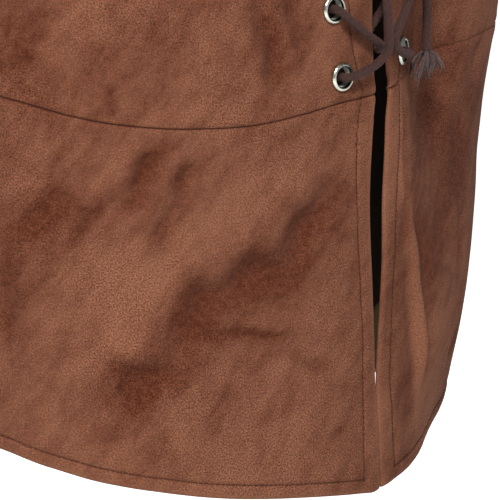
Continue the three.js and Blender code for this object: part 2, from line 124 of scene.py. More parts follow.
# angle, level of the hem
HEM = [
    (0, -653.5), (13, -648.1), (30, -641.6), (43, -634.6), (52, -629.5), (62, -621.8), (75, -613),
    (82, -628), (90, -651), (104, -661), (130, -664), (180, -664),
]
# angle, spread, level, reach, depth of each large fold
FOLDS = [
    (17, 9, -440, 75, -14),
    (48, 12, -425, 45, 8),
    (30, 15, -655, 55, -11.5),
    (62, 18, -655, 60, -15.5),
    (-26, 7, -590, 45, -3),
    (-52, 8, -560, 60, -3),
    (-78, 9, -560, 70, -5),
    (82, 9, -520, 70, -5),
    (118, 9, -620, 90, -8),
    (150, 10, -640, 100, 7),
    (176, 9, -640, 100, -7),
    (-154, 10, -640, 100, 7),
    (-124, 9, -620, 90, -8),
    (106, 9, -320, 70, -5),
    (-108, 9, -330, 70, -5),
    (150, 14, -400, 40, 4),
    (-146, 14, -410, 40, 4),
]
# level, how far the front's stitch line runs in from the edge
FRONT_INSET = [
    (20.5, 6), (-225, 6), (-262, 13), (-300, 16.5), (-407, 16.4), (-427, 14.8), (-439, 12), (-452, 9.6),
    (-471, 10.5), (-490, 9.8), (-555, 7.9), (-605, 9.4), (-645, 11.4), (-660, 11.4),
]
# free edges: how far in the stitch line runs, how deep the edge is turned in
HEM_INSET, HEM_TURNED = 6.0, 22.0
ARMHOLE_INSET, ARMHOLE_TURNED = 5.5, 9.0
NECK_INSET, NECK_TURNED = 5.5, 9.0
EDGE_TURNED = 26.0

# share of the seam's depth left on the wearer's left front, where it is pressed flat
PRESSED_SEAM = 0.35
# size, seed, height of the cloth's own waves, and of the puckers along stitches
CLOTH_WAVES = [(46, 3, 0.55), (17, 4, 0.22)]
PUCKER_WAVES = [(5.5, 5, 1.0), (11, 6, 0.6)]
PUCKER_HEIGHT = 0.3
STITCH_GROOVE = 0.45
TURNED_PUFF = 0.3
SEAM_VALLEY = 0.9
SEAM_SHOULDER = 0.28
# round each eyelet the cloth is pressed flat, and stands up at a small rim
SEAT_DENT = 0.3
SEAT_FLAT = 7.5
SEAT_RIM = 9.5
# how far in from a free edge the nap is rubbed paler
WORN_REACH = 1.6
# the turned rim's points round its half circle, in degrees, and laid flat, in half thicknesses
RIM_TURNS = (40, 90, 140)
RIM_LAID_FLAT = (0.8, 1.6, 2.4)
CREASE_DEPTH = 2.5
# from angle, level to angle, level, width, depth (a ridge is negative), bow, dark nap with painted crease
# shade, negative for a painted highlight
CREASES = [
    (-11, -503, -24, -537, 9, 1.6, 3, 0.55),
    (-22, -532, -36, -548, 8, 2.2, -3, 1.0),
    (-35, -550, -46, -585, 9, 2.0, 4, 0.9),
    (-45, -583, -55, -600, 8, 1.2, 0, 0.55),
    (-51, -607, -41, -617, 6, 0.7, 0, 0.5),
    (-40.5, -470, -54, -506, 5, 1.5, 3, 0.8),
    (-34.6, -476, -40.5, -512, 4.2, 1.3, -2, 0.8),
    (-68, -510, -54, -489, 6, 1.1, 2, 0.6),
    (-17, -512, -8.5, -493, 7, 0.9, 0, 0.5),
    (-33, -560.5, -19, -565.5, 1.9, 0.8, 1.0, 0.7),
    (-20, -573.5, -11.5, -585, 2.6, 0.7, 0, 0.4),
    (-10.6, -619.3, -8, -616.8, 1.4, 0.5, 0, 0.5),
    (-23.6, -392, -20.6, -440, 5, 1.1, -2, 0.6),
    (-18.6, -394, -16.6, -430, 3.4, 0.8, 0, 0.5),
    (-49, -438, -48, -450, 1.9, 0.7, 0, 0.7),
    (-70, -392, -60, -414, 13, 1.4, 0, 0.55),
    (-63, -420, -66, -440, 6, 0.9, 0, 0.35),
    (-9.5, -468.5, -2, -466, 1.2, 0.5, 0, 0.25),
    (-9.2, -473.4, -3, -472, 1.0, 0.35, 0, 0.2),
    (-8.8, -479.3, -2.2, -477.6, 1.2, 0.45, 0, 0.25),
    (6.9, -462, 7.3, -520, 2.2, 1.0, 0, 0.3),
    (6.6, -505, 14.4, -612, 3.4, -1.5, 1.5, -1.3),
    (19, -582, 23, -632, 10, -0.4, 0, -0.45),
    (12, -455, 12, -570, 12, 0.2, 0, 0.35),
    (33, -470, 28, -560, 16, 0.2, 0, 0.45),
    (12, -400, 24, -446, 14, 0.2, 0, 0.4),
    (8, -602, 12, -640, 8, 0.6, 0, 0.6),
    (11, -520, 19, -604, 5.0, 1.1, 2, 0.2),
    (22, -465, 21.5, -552, 17, 0.9, 0, 0.6),
    (27, -500, 30, -560, 5, 0.9, 2, 0.4),
    (36, -450, 27, -498, 7, 1.0, -3, 0.3),
    (41, -560, 33, -612, 6, 0.9, 2, 0.3),
    (15, -400, 10, -440, 7, 0.9, 0, 0.4),
    (40, -330, 22, -402, 9, 1.6, 5, 0.5),
    (-40, -320, -24, -392, 9, 1.6, -5, 0.5),
    (62, -285, 38, -352, 10, 1.8, 5, 0.5),
    (-62, -287, -40, -348, 10, 1.7, -5, 0.5),
    (78, -300, 62, -392, 8, 1.5, 3, 0.4),
    (-79, -305, -60, -384, 8, 1.6, -3, 0.4),
    (70, -470, 62, -580, 9, 1.8, 4, 0.5),
    (-72, -468, -66, -560, 8, 1.3, -4, 0.4),
    (30, -160, 40, -250, 12, 1.3, 4, 0.4),
    (-28, -150, -41, -246, 12, 1.2, -4, 0.4),
    (38, -60, 36, -130, 8, 0.9, 0, 0.3),
    (-39, -70, -36, -140, 8, 0.9, 0, 0.3),
    (100, -300, 128, -368, 10, 2.0, 5, 0.5),
    (102, -345, 133, -388, 8, 1.5, 4, 0.45),
    (-101, -308, -130, -372, 10, 2.0, -5, 0.5),
    (-104, -352, -131, -392, 8, 1.4, -4, 0.45),
    (160, -402, 201, -399, 7, 1.9, 6, 0.5),
    (166, -376, 196, -381, 6, 1.2, -4, 0.4),
    (150, -425, 178, -421, 4, 1.1, 3, 0.35),
    (186, -418, 214, -425, 4, 1.1, -3, 0.35),
    (140, -460, 146, -600, 10, 1.8, 6, 0.5),
    (168, -470, 163, -585, 9, 1.6, -5, 0.45),
    (195, -468, 203, -590, 10, 1.8, 5, 0.5),
    (226, -462, 218, -580, 9, 1.5, -4, 0.45),
    (112, -462, 118, -560, 7, 1.4, 3, 0.4),
    (248, -464, 241, -566, 7, 1.3, -3, 0.4),
    (150, -120, 158, -230, 13, 1.3, 5, 0.4),
    (206, -115, 203, -225, 13, 1.2, -5, 0.4),
    (175, -60, 178, -150, 9, 0.9, 2, 0.3),
]

# Eyelets
PAIRS = 6
EYELET_PITCH = 33.0
EYELET_HOLE = 5.8
HOLE_SIDES = 32
HOLE_REACH = (-8, 6)
EYELET_SIDES = 44
# side, lowest level, lowest inset, inset of the others
RIGHT_EYELETS = (-1, -443.5, 22.3, 27.0)
LEFT_EYELETS = (1, -438.5, 16.5, 24.0)
# radius, height above the cloth
EYELET_PROFILE = [
    (4.75, -3.0), (4.75, -0.4), (4.85, 0.7), (5.15, 1.3), (5.6, 1.58), (6.1, 1.5),
    (6.6, 1.15), (6.93, 0.65), (7.0, 0.2), (6.8, -0.15), (6.2, -0.25), (5.5, -0.35),
    (5.45, -1.6), (5.6, -2.3), (6.5, -2.35), (6.6, -2.8), (6.2, -3.2), (5.3, -3.35),
]
# points of the profile inside the hole, and on its lip, painted dark as the shade between rim and bore
BORE_POINTS = (0, 1)
SHADED_LIP_POINTS = (2, 3)

# Lace
LACE_DIAMETER = 4.4
OVER = 4.9
UNDER = -6.8
BEND_RISE = 0.2
BORE_HEIGHTS = (-4.6, -1, 2.8)
RIGHT_END = [
    (-26.2, -145, -442.9), (-20.7, -146, -441.8), (-12.7, -147.2, -439.3), (-8.8, -148.8, -436.2),
    (-7.2, -151, -431.9), (-7.9, -152.2, -427), (-9.3, -152.4, -417), (-10, -151.9, -407.8),
    (-8, -150.5, -395), (-2.5, -149, -381), (5, -149, -369), (12, -150, -360),
]
LEFT_END = [
    (18.2, -143.8, -438.4), (12.4, -145.4, -437.4), (6.6, -146.4, -434.8), (2.8, -147.2, -430.4),
    (3.8, -147.6, -425), (7.4, -147.2, -420.4), (11.4, -146.4, -416), (13.7, -147.4, -410),
    (14.6, -149.8, -401), (15.4, -149.8, -391), (16, -148.8, -379), (16, -148.6, -369), (14.5, -150, -359),
]
RIGHT_LOOP = [
    (12, -150.5, -355), (5, -151.5, -351), (-4, -152, -348.5), (-15, -151.5, -351.5), (-24, -150, -360),
    (-28, -148.5, -373), (-23, -149, -384), (-14.5, -151.5, -380), (-5.5, -155, -368), (4, -156, -359.5),
    (12, -152.5, -357),
]
LEFT_LOOP = [
    (16, -150.5, -355), (23, -151.5, -350.5), (32, -151, -348.5), (43, -149, -353), (51, -146, -363),
    (53, -144, -376), (46, -146, -385), (38.5, -150.5, -379), (32.5, -155.5, -368.5), (24.5, -156, -360),
    (16, -152.5, -357),
]
LEFT_TAIL = [
    (16, -150, -357), (22.5, -149.6, -359.5), (28, -148.8, -366), (31.2, -146.6, -377),
    (33.2, -143.6, -391), (34.6, -141.4, -406), (35.5, -140.4, -422), (36.2, -140, -441),
]
RIGHT_TAIL = [
    (13, -151, -358), (11, -155.5, -364), (8.8, -158, -372), (7, -158.6, -381), (6, -158.4, -389),
]
KNOT_CENTRE = (14, -150.5, -357)
KNOT_HALF = (8, 5.5, 6.2)
BRAID_STRANDS = 4
BRAID_PITCH = 13.0
BRAID_DEPTH = 0.24
CORD_STEP = 0.6
CORD_SIDES = 24
KNOT_TUCK = 1.8
KNOT_TURNS = 1.02
KNOT_STEPS = 12
# the fibres' noise: how fine round the cord, and along it
FIBRES_ROUND = 22.4
FIBRE_STRETCH = 0.35

# Stitches, in metres, and the lines they lie on, in millimetres
STITCH_PITCH = 0.0029
STITCH_LENGTH = 0.0021
STITCH_WIDTH = 0.00042
STITCH_LINE_STEP = 1.5
STITCH_STANDOFF = 0.12
# how far a line of stitches may run on past another one that it meets
STITCH_OVERRUN = 0.4

# Frayed ends
FRAY_RADIUS = 0.00042
LOCK_STRANDS = 4
STRAND_POINTS = 12
# node, route, locks, length, spread sideways, spread forwards, seed
FRAYED_ENDS = [
    ("tassel_left", LEFT_TAIL, 15, 18.5, 12.5, 3.4, 11),
    ("tassel_right", RIGHT_TAIL, 9, 11, 4.8, 2.4, 12),
]

# The nap: scale, detail, roughness, strength of its brushed patches
NAP_LAYERS = [(15, 4, 0.55, 0.95), (44, 4, 0.6, 1.0), (150, 4, 0.6, 0.8)]
NAP_LEAN = 50.0
NAP_STRETCH = 1.9
# how much the brushed nap with its painted crease shade and highlights counts
NAP_SHADING_SHARE = 0.62

# Colours, linear
SUEDE_LIGHT = (0.187, 0.0755, 0.0425)
SUEDE_WARM = (0.195, 0.068, 0.033)
SUEDE_DARK = (0.064, 0.016, 0.0075)
SUEDE_WORN = (0.26, 0.115, 0.068)
# painted shade in the stitch grooves and seam valleys
SUEDE_CREVICE_SHADE = (0.026, 0.004, 0.0015)
SUEDE_SHEEN = (1.0, 0.6, 0.45)
NICKEL_DULL = (0.4, 0.41, 0.34)
NICKEL_BRIGHT = (0.72, 0.72, 0.62)
NICKEL_BORE = (0.4, 0.4, 0.35)
# painted shade on the eyelet's lip between rim and bore
NICKEL_LIP_SHADE = (0.012, 0.014, 0.01)
# the inside: the backing's dark brown deepened to near black as painted shade, and the turned hem a dull
# olive painted as it looks in shadow
WRONG_SIDE = (0.008, 0.005, 0.003)
TURNED_HEM = (0.075, 0.05, 0.022)
THREAD_DARK = (0.024, 0.005, 0.002)
THREAD_LIGHT = (0.055, 0.013, 0.006)
LACE_DARK = (0.016, 0.0058, 0.0048)
LACE_LIGHT = (0.058, 0.024, 0.0195)
LACE_BROWN = (0.045, 0.017, 0.012)
# painted shade in the hollows between the braid's strands
LACE_CREVICE_SHADE = (0.009, 0.004, 0.004)
LACE_SHEEN = (1.0, 0.75, 0.7)
FRAY_DARK = (0.018, 0.007, 0.006)
FRAY_LIGHT = (0.058, 0.025, 0.021)
# the floor: grey under the garment, a painted shadow, and pale further out, where it also glows
FLOOR_SHADOW_BELOW = (0.5, 0.5, 0.5)
FLOOR_BEYOND = (0.9, 0.9, 0.9)
FLOOR_GLOW = (0.8, 0.8, 0.8)


def smooth(table, at, column=1):
    """One column of a table read as a smooth curve of its first one, which never overshoots the rows."""
    rows = np.array(sorted(table), float)
    x, y = rows[:, 0], rows[:, column]
    at = np.clip(np.asarray(at, float), x[0], x[-1])
    i = np.clip(np.searchsorted(x, at, side="right") - 1, 0, len(x) - 2)
    slope = np.diff(y) / np.diff(x)
    same = slope[:-1] * slope[1:] > 0
    mean = 2 * slope[:-1] * slope[1:] / np.where(same, slope[:-1] + slope[1:], 1)
    tangent = np.concatenate([slope[:1], np.where(same, mean, 0), slope[-1:]])
    step = x[i + 1] - x[i]
    u = (at - x[i]) / step
    return (
        y[i] * (1 + 2 * u) * (1 - u) ** 2
        + step * tangent[i] * u * (1 - u) ** 2
        + y[i + 1] * u * u * (3 - 2 * u)
        + step * tangent[i + 1] * u * u * (u - 1)
    )


def unit(vectors):
    return vectors / np.maximum(np.linalg.norm(vectors, axis=-1, keepdims=True), 1e-12)


def mix(a, b, share):
    return a + (b - a) * share


def bell(value, width):
    return np.exp(-((value / width) ** 2))


def soft_step(low, high, value):
    t = np.clip((value - low) / (high - low), 0, 1)
    return t * t * (3 - 2 * t)


# The cloth's surface


def outline(angle, level):
    share = np.clip((SHOULDER_LEVEL - level) / SHOULDER_ROLL, 0, 1)
    turn = np.radians(angle)
    depth = np.where(np.cos(turn) >= 0, smooth(SECTIONS, level, 2), smooth(SECTIONS, level, 3))
    depth = depth * np.sqrt(1 - (1 - share) ** 2) + SEAM_GAP
    return np.stack([smooth(SECTIONS, level, 1) * np.sin(turn), -depth * np.cos(turn)], -1)


def half_turned(angle):
    return np.where(angle > BACK_CENTRE, angle - 2 * BACK_CENTRE, angle)


def fold_depth(angle, level):
    total = 0
    for fold_angle, spread, fold_level, reach, depth in FOLDS:
        here = bell(half_turned(angle) - fold_angle, spread) * bell(level - fold_level, reach)
        total = total + depth * here
    return total


def cloth_point(angle, level, standoff=0.0):
    """Points on the cloth's outer face, or a stated distance outside it."""
    angle, level = np.broadcast_arrays(np.asarray(angle, float), np.asarray(level, float))
    here = outline(angle, level)
    along = unit(outline(angle + 0.05, level) - outline(angle - 0.05, level))
    proud = fold_depth(angle, level) + standoff
    x = here[..., 0] + proud * along[..., 1]
    y = here[..., 1] - proud * along[..., 0]
    out = np.hypot(x, NECK_ROUND) - NECK_ROUND
    return np.stack([x, y, level - smooth(SLOPES, level) * out], -1)


def cloth_normal(angle, level):
    """The outward direction, in a side or shoulder seam's own plane, so that two walls meet flush."""
    step = 0.5
    around = cloth_point(angle + step, level) - cloth_point(angle - step, level)
    up = cloth_point(angle, level) - cloth_point(angle, level - step)
    normal = unit(np.cross(around, up))
    at_side = np.abs(np.abs(np.sin(np.radians(angle))) - 1) < 1e-4
    normal[..., 1] = np.where(at_side | (level > SHOULDER_LEVEL - 1e-3), 0, normal[..., 1])
    return unit(normal)


def seam_level(angle):
    turned = half_turned(angle)
    return np.where(turned > 0, smooth(LEFT_SEAM, np.abs(turned)), smooth(RIGHT_SEAM, np.abs(turned)))


def hem_level(angle):
    return smooth(HEM, np.abs(half_turned(angle)))


def edge_place(side, level):
    """How far the front's free edge is from the middle: the lacing edge, and the neckline above the V."""
    below = side * smooth(LEFT_EDGE if side > 0 else RIGHT_EDGE, level)
    share = np.clip((level - V_POINT_LEVEL) / (SHOULDER_LEVEL - V_POINT_LEVEL), 0, 1)
    above = mix(LEFT_EDGE[0][1], NECK_HALF_WIDTH, share**NECK_CURVE)
    return np.where(level <= V_POINT_LEVEL, below, above)


def side_angle(level):
    inset = np.degrees(SEAM_GAP / 2 / smooth(SECTIONS, level, 2))
    return np.minimum(smooth(ARMHOLE, level), SIDE_SEAM - inset)


# The cloth laid flat, for creases and the brushed nap with its painted crease shade and highlights
ARC_ANGLES = np.arange(-180, 361)
ARC_POINTS = outline(ARC_ANGLES.astype(float), np.full(len(ARC_ANGLES), WAIST_LEVEL))
ARC_STEPS = np.linalg.norm(np.diff(ARC_POINTS, axis=0), axis=1)
ARC_LENGTHS = np.concatenate([[0], np.cumsum(ARC_STEPS)])
ARC_LENGTHS = ARC_LENGTHS - ARC_LENGTHS[180]


def across_cloth(angle):
    return np.interp(angle, ARC_ANGLES, ARC_LENGTHS)


def lattice_noise(across, level, size, seed):
    """Soft seeded noise from -1 to 1 on the flat cloth, with features of the given size."""
    lattice = np.random.default_rng(seed).uniform(-1, 1, (64, 64))
    u = across / size
    v = level / size
    i = np.floor(u).astype(int)
    j = np.floor(v).astype(int)
    s = soft_step(0, 1, u - i)
    t = soft_step(0, 1, v - j)
    low = mix(lattice[i % 64, j % 64], lattice[(i + 1) % 64, j % 64], s)
    high = mix(lattice[i % 64, (j + 1) % 64], lattice[(i + 1) % 64, (j + 1) % 64], s)
    return mix(low, high, t)


def layered_noise(across, level, waves):
    return sum(height * lattice_noise(across, level, size, seed) for size, seed, height in waves)


def crease_relief(across, level):
    """Height of the creases on the flat cloth, and how dark the nap is along them: brushed nap with
    painted crease shade, and a painted highlight where the nap column is negative.
    """
    height, dark = np.zeros_like(across), np.zeros_like(across)
    for angle0, level0, angle1, level1, width, depth, bow, nap in CREASES:
        start = np.array([across_cloth(angle0), level0])
        run = np.array([across_cloth(angle1), level1]) - start
        long = np.hypot(*run)
        dx, dy = across - start[0], level - start[1]
        along = (dx * run[0] + dy * run[1]) / long**2
        wander = 0.35 * width * np.sin(9 * along + angle0)
        off = (dx * run[1] - dy * run[0]) / long + bow * np.sin(np.pi * along) + wander
        from_middle = np.abs(along - 0.5)
        taper = bell(np.clip(from_middle - 0.3, 0, None), 0.15)
        uneven = 0.8 + 0.3 * np.sin(5 * along + level0)
        shoulder = bell(off - 2.1 * width, 1.3 * width)
        height -= CREASE_DEPTH * depth * uneven * taper * (bell(off, width) - 0.45 * shoulder)
        fade = bell(np.clip(from_middle - 0.34, 0, None), 0.3)
        dark += nap * uneven * fade * bell(off, 1.6 * width)
    return height, dark


def graded(*stops):
    """Places from the first stop to the last. Each stop is a place and the step wanted there."""
    places, steps = zip(*stops)
    found = [places[0]]
    while found[-1] < places[-1] - 1e-6:
        found.append(found[-1] + float(np.interp(found[-1], places, steps)))
    found = np.array(found)
    return places[0] + (found - places[0]) * (places[-1] - places[0]) / (found[-1] - places[0])


# Rows and columns, closer together at edges, stitch lines and the underarm
ROLL_TURNS = np.linspace(math.pi / 2, 0, 84)[1:]
BODICE_LEVELS = np.concatenate([
    graded(
        (-455, 0.35), (-453, 0.6), (-446, 2.4), (-300, 2.4), (-280, 1.5), (-235, 1.6), (-179.5, 2.4),
    ),
    SHOULDER_LEVEL - SHOULDER_ROLL * (1 - np.cos(ROLL_TURNS)),
])
BODICE_RISE = ((BODICE_LEVELS - WAIST_LEVEL) / (SHOULDER_LEVEL - WAIST_LEVEL))[:, None]
PEPLUM_SHARES = graded(
    (0, 0.002), (0.02, 0.005), (0.06, 0.0115), (0.96, 0.0115), (0.99, 0.003), (1, 0.002),
)
HEM_SHARES = np.array([0, 0.08, 0.2, 0.38, 0.58, 0.74, 0.86, 0.94])
STRIP_SHARES = np.array([0, 0.04, 0.1, 0.2, 0.32, 0.46, 0.6, 0.72, 0.83, 0.91, 0.96])
REST_SHARES = graded(
    (0, 0.0025), (0.008, 0.004), (0.02, 0.0088), (0.97, 0.0088), (0.99, 0.003), (1, 0.002),
)
BACK_SHARES = graded(
    (0, 0.001), (0.006, 0.0065), (0.27, 0.0065), (0.3, 0.0025), (0.33, 0.0065), (0.5, 0.0065),
)
BACK_SHARES = np.concatenate([BACK_SHARES, 1 - BACK_SHARES[-2::-1]])


def front_angles(side, levels):
    """Angles of a front's columns at each level, from the free edge to the side."""
    half_width = smooth(SECTIONS, levels, 1)
    inset = smooth(FRONT_INSET, levels)
    strip = edge_place(side, levels)[:, None] + EDGE_INSET + (inset - EDGE_INSET)[:, None] * STRIP_SHARES
    strip = np.degrees(np.arcsin(strip / half_width[:, None]))
    line = np.degrees(np.arcsin((edge_place(side, levels) + inset) / half_width))[:, None]
    side_at = side_angle(np.maximum(levels, WAIST_LEVEL))[:, None]
    angles = side * np.concatenate([strip, mix(line, side_at, REST_SHARES)], axis=1)
    return angles if side > 0 else angles[:, ::-1]


def front_grid(side):
    angles = front_angles(side, BODICE_LEVELS)
    return angles, mix(seam_level(angles) + SEAM_GAP / 2, SHOULDER_LEVEL, BODICE_RISE)


def back_grid():
    side = side_angle(BODICE_LEVELS)[:, None]
    angles = mix(BACK_CENTRE - side, BACK_CENTRE + side, BACK_SHARES[None])
    from_middle = np.minimum(np.abs(BACK_SHARES - 0.5) / BACK_NECK_SHARE, 1)
    top = SHOULDER_LEVEL - BACK_NECK_DROP * np.sqrt(1 - from_middle**2)
    return angles, mix(seam_level(angles) + SEAM_GAP / 2, top[None], BODICE_RISE)


def peplum_levels(angles):
    """Rows from the hem through its stitch line up to the waist seam."""
    hem = hem_level(angles[:1])
    top = seam_level(angles[:1]) - SEAM_GAP / 2
    line = hem + HEM_INSET
    rows = [hem + EDGE_INSET + (HEM_INSET - EDGE_INSET) * share for share in HEM_SHARES]
    rows += [mix(line, top, share) for share in PEPLUM_SHARES]
    return np.concatenate(rows)


def peplum_front_grid(side):
    rows = len(HEM_SHARES) + len(PEPLUM_SHARES)
    nominal = np.concatenate([
        HEM_LEVEL + HEM_INSET * HEM_SHARES,
        mix(HEM_LEVEL + HEM_INSET, WAIST_LEVEL, PEPLUM_SHARES),
    ])
    angles = front_angles(side, nominal)
    levels = np.empty((rows, angles.shape[1]))
    for row in range(rows):
        levels[row] = peplum_levels(angles[row : row + 1])[row]
    return angles, levels


def peplum_back_grid():
    side = side_angle(WAIST_LEVEL)
    angles = mix(BACK_CENTRE - side, BACK_CENTRE + side, BACK_SHARES)[None]
    levels = peplum_levels(angles)
    return np.repeat(angles, len(levels), axis=0), levels


# Meshes and pieces


def linked(name, data):
    piece = bpy.data.objects.new(name, data)
    bpy.context.collection.objects.link(piece)
    return piece


def mesh_object(name, points, faces, materials=(), smooth_faces=True):
    mesh = bpy.data.meshes.new(name)
    mesh.from_pydata([tuple(p) for p in points], [], faces)
    mesh.polygons.foreach_set("use_smooth", [smooth_faces] * len(mesh.polygons))
    for finish in materials:
        mesh.materials.append(finish)
    mesh.update()
    return linked(name, mesh)


def store(mesh, name, values):
    values = np.asarray(values, np.float32)
    kind, field = ("FLOAT", "value") if values.ndim == 1 else ("FLOAT_VECTOR", "vector")
    mesh.attributes.new(name, kind, "POINT").data.foreach_set(field, values.ravel())


def solid_mesh(piece, name):
    """The piece's shape with its modifiers applied, as a new plain piece in its place."""
    depsgraph = bpy.context.evaluated_depsgraph_get()
    mesh = bpy.data.meshes.new_from_object(piece.evaluated_get(depsgraph), depsgraph=depsgraph)
    mesh.name = name
    bpy.data.objects.remove(piece)
    return linked(name, mesh)


def corner_points(mesh):
    """The number of the point at each corner of each face."""
    corner = np.zeros(len(mesh.loops), np.int32)
    mesh.loops.foreach_get("vertex_index", corner)
    return corner


def lay_uv(mesh, name, places):
    """A UV map from a place for each corner of each face."""
    layer = mesh.uv_layers.new(name=name)
    layer.data.foreach_set("uv", places.astype(np.float32).ravel())


def distance_to(points, line):
    """How far each point is from a line of points."""
    best = np.full(len(points), np.inf)
    for a, b in zip(line[:-1], line[1:]):
        along = b - a
        t = np.clip((points - a) @ along / max(along @ along, 1e-12), 0, 1)
        best = np.minimum(best, np.linalg.norm(points - a - t[:, None] * along, axis=1))
    return best


def eyelet_seat(row, pair):
    side, lowest, first_inset, inset = row
    level = lowest + pair * EYELET_PITCH
    place = edge_place(side, np.array(level)) + (inset if pair else first_inset)
    return float(side * np.degrees(np.arcsin(place / smooth(SECTIONS, level, 1)))), level


def runs_of(names, wanted):
    """Stretches of neighbouring border points that carry the wanted name."""
    runs, current = [], []
    for index, name in enumerate(names):
        if name == wanted:
            current.append(index)
        elif current:
            runs.append(current)
            current = []
    return runs + ([current] if current else [])


# finish of each border: is it a free edge, stitch inset, turned depth
BORDERS = {
    "edge": (True, None, EDGE_TURNED),
    "hem": (True, HEM_INSET, HEM_TURNED),
    "armhole": (True, ARMHOLE_INSET, ARMHOLE_TURNED),
    "neck": (True, NECK_INSET, NECK_TURNED),
    "waist": (False, 0, 0),
    "side": (False, 0, 0),
    "shoulder": (False, 0, 0),
}


def stitch_inset(kind, level):
    """How far in from a free border its stitches run, at the given levels."""
    inset = BORDERS[kind][1]
    return smooth(FRONT_INSET, level) if inset is None else np.full(np.shape(level), float(inset))


def border_distances(base, sides, borders):
    """How far each point is from every border, by side and finish, and the free borders' points."""
    away, free_borders = {}, []
    for place, indices in sides.items():
        for kind in dict.fromkeys(borders[place]):
            for run in runs_of(borders[place], kind):
                if len(run) > 1:
                    away[place, kind] = distance_to(base, base[indices[run]])
                    if BORDERS[kind][0]:
                        free_borders.append((kind, indices[run]))
    return away, free_borders


def hemmed_relief(kind, distance, level, away, puckers):
    """What a free border gives the cloth near it: height, painted crevice shade at its stitches, share
    turned in.
    """
    inset = stitch_inset(kind, level)
    short_of = np.ones(len(level))
    for (_, other_kind), other in away.items():
        if other_kind != kind and BORDERS[other_kind][0]:
            other_inset = stitch_inset(other_kind, level)
            short_of *= soft_step(other_inset - 0.8, other_inset, other)
    off = distance - inset
    height = TURNED_PUFF * np.sin(np.pi * np.clip(distance / inset, 0, 1)) * (distance < inset)
    height += PUCKER_HEIGHT * puckers * bell(off, 5.0) - STITCH_GROOVE * short_of * bell(off, 1.0)
    turned_depth = BORDERS[kind][2]
    fold_in = 1 - soft_step(turned_depth - 0.7, turned_depth + 0.7, distance)
    return height, 0.5 * short_of * bell(off, 0.42), fold_in


def sewn_relief(distance, angle, puckers):
    """What a seam gives the cloth near it: height and painted crevice shade."""
    on_left = soft_step(2.5, 6, angle) * (1 - soft_step(70, 90, angle))
    pressed = mix(1.0, PRESSED_SEAM, on_left)
    height = SEAM_SHOULDER * bell(distance - 3.2, 2.2) + PUCKER_HEIGHT * puckers * bell(distance, 9.0)
    height -= SEAM_VALLEY * pressed * np.clip(1 - distance / 1.4, 0, 1) ** 2
    return height, 0.9 * pressed * bell(distance, 0.3)


def outwards(grid, even):
    """Directions that lead out of a grid at its border. Even ones weigh both sides of a corner alike."""
    out = np.zeros_like(grid)
    neighbours = [
        (np.s_[0], np.s_[1]), (np.s_[-1], np.s_[-2]),
        (np.s_[:, 0], np.s_[:, 1]), (np.s_[:, -1], np.s_[:, -2]),
    ]
    for edge, inner in neighbours:
        step = grid[edge] - grid[inner]
        out[edge] += unit(step) if even else step
    return unit(out.reshape(-1, grid.shape[-1]))


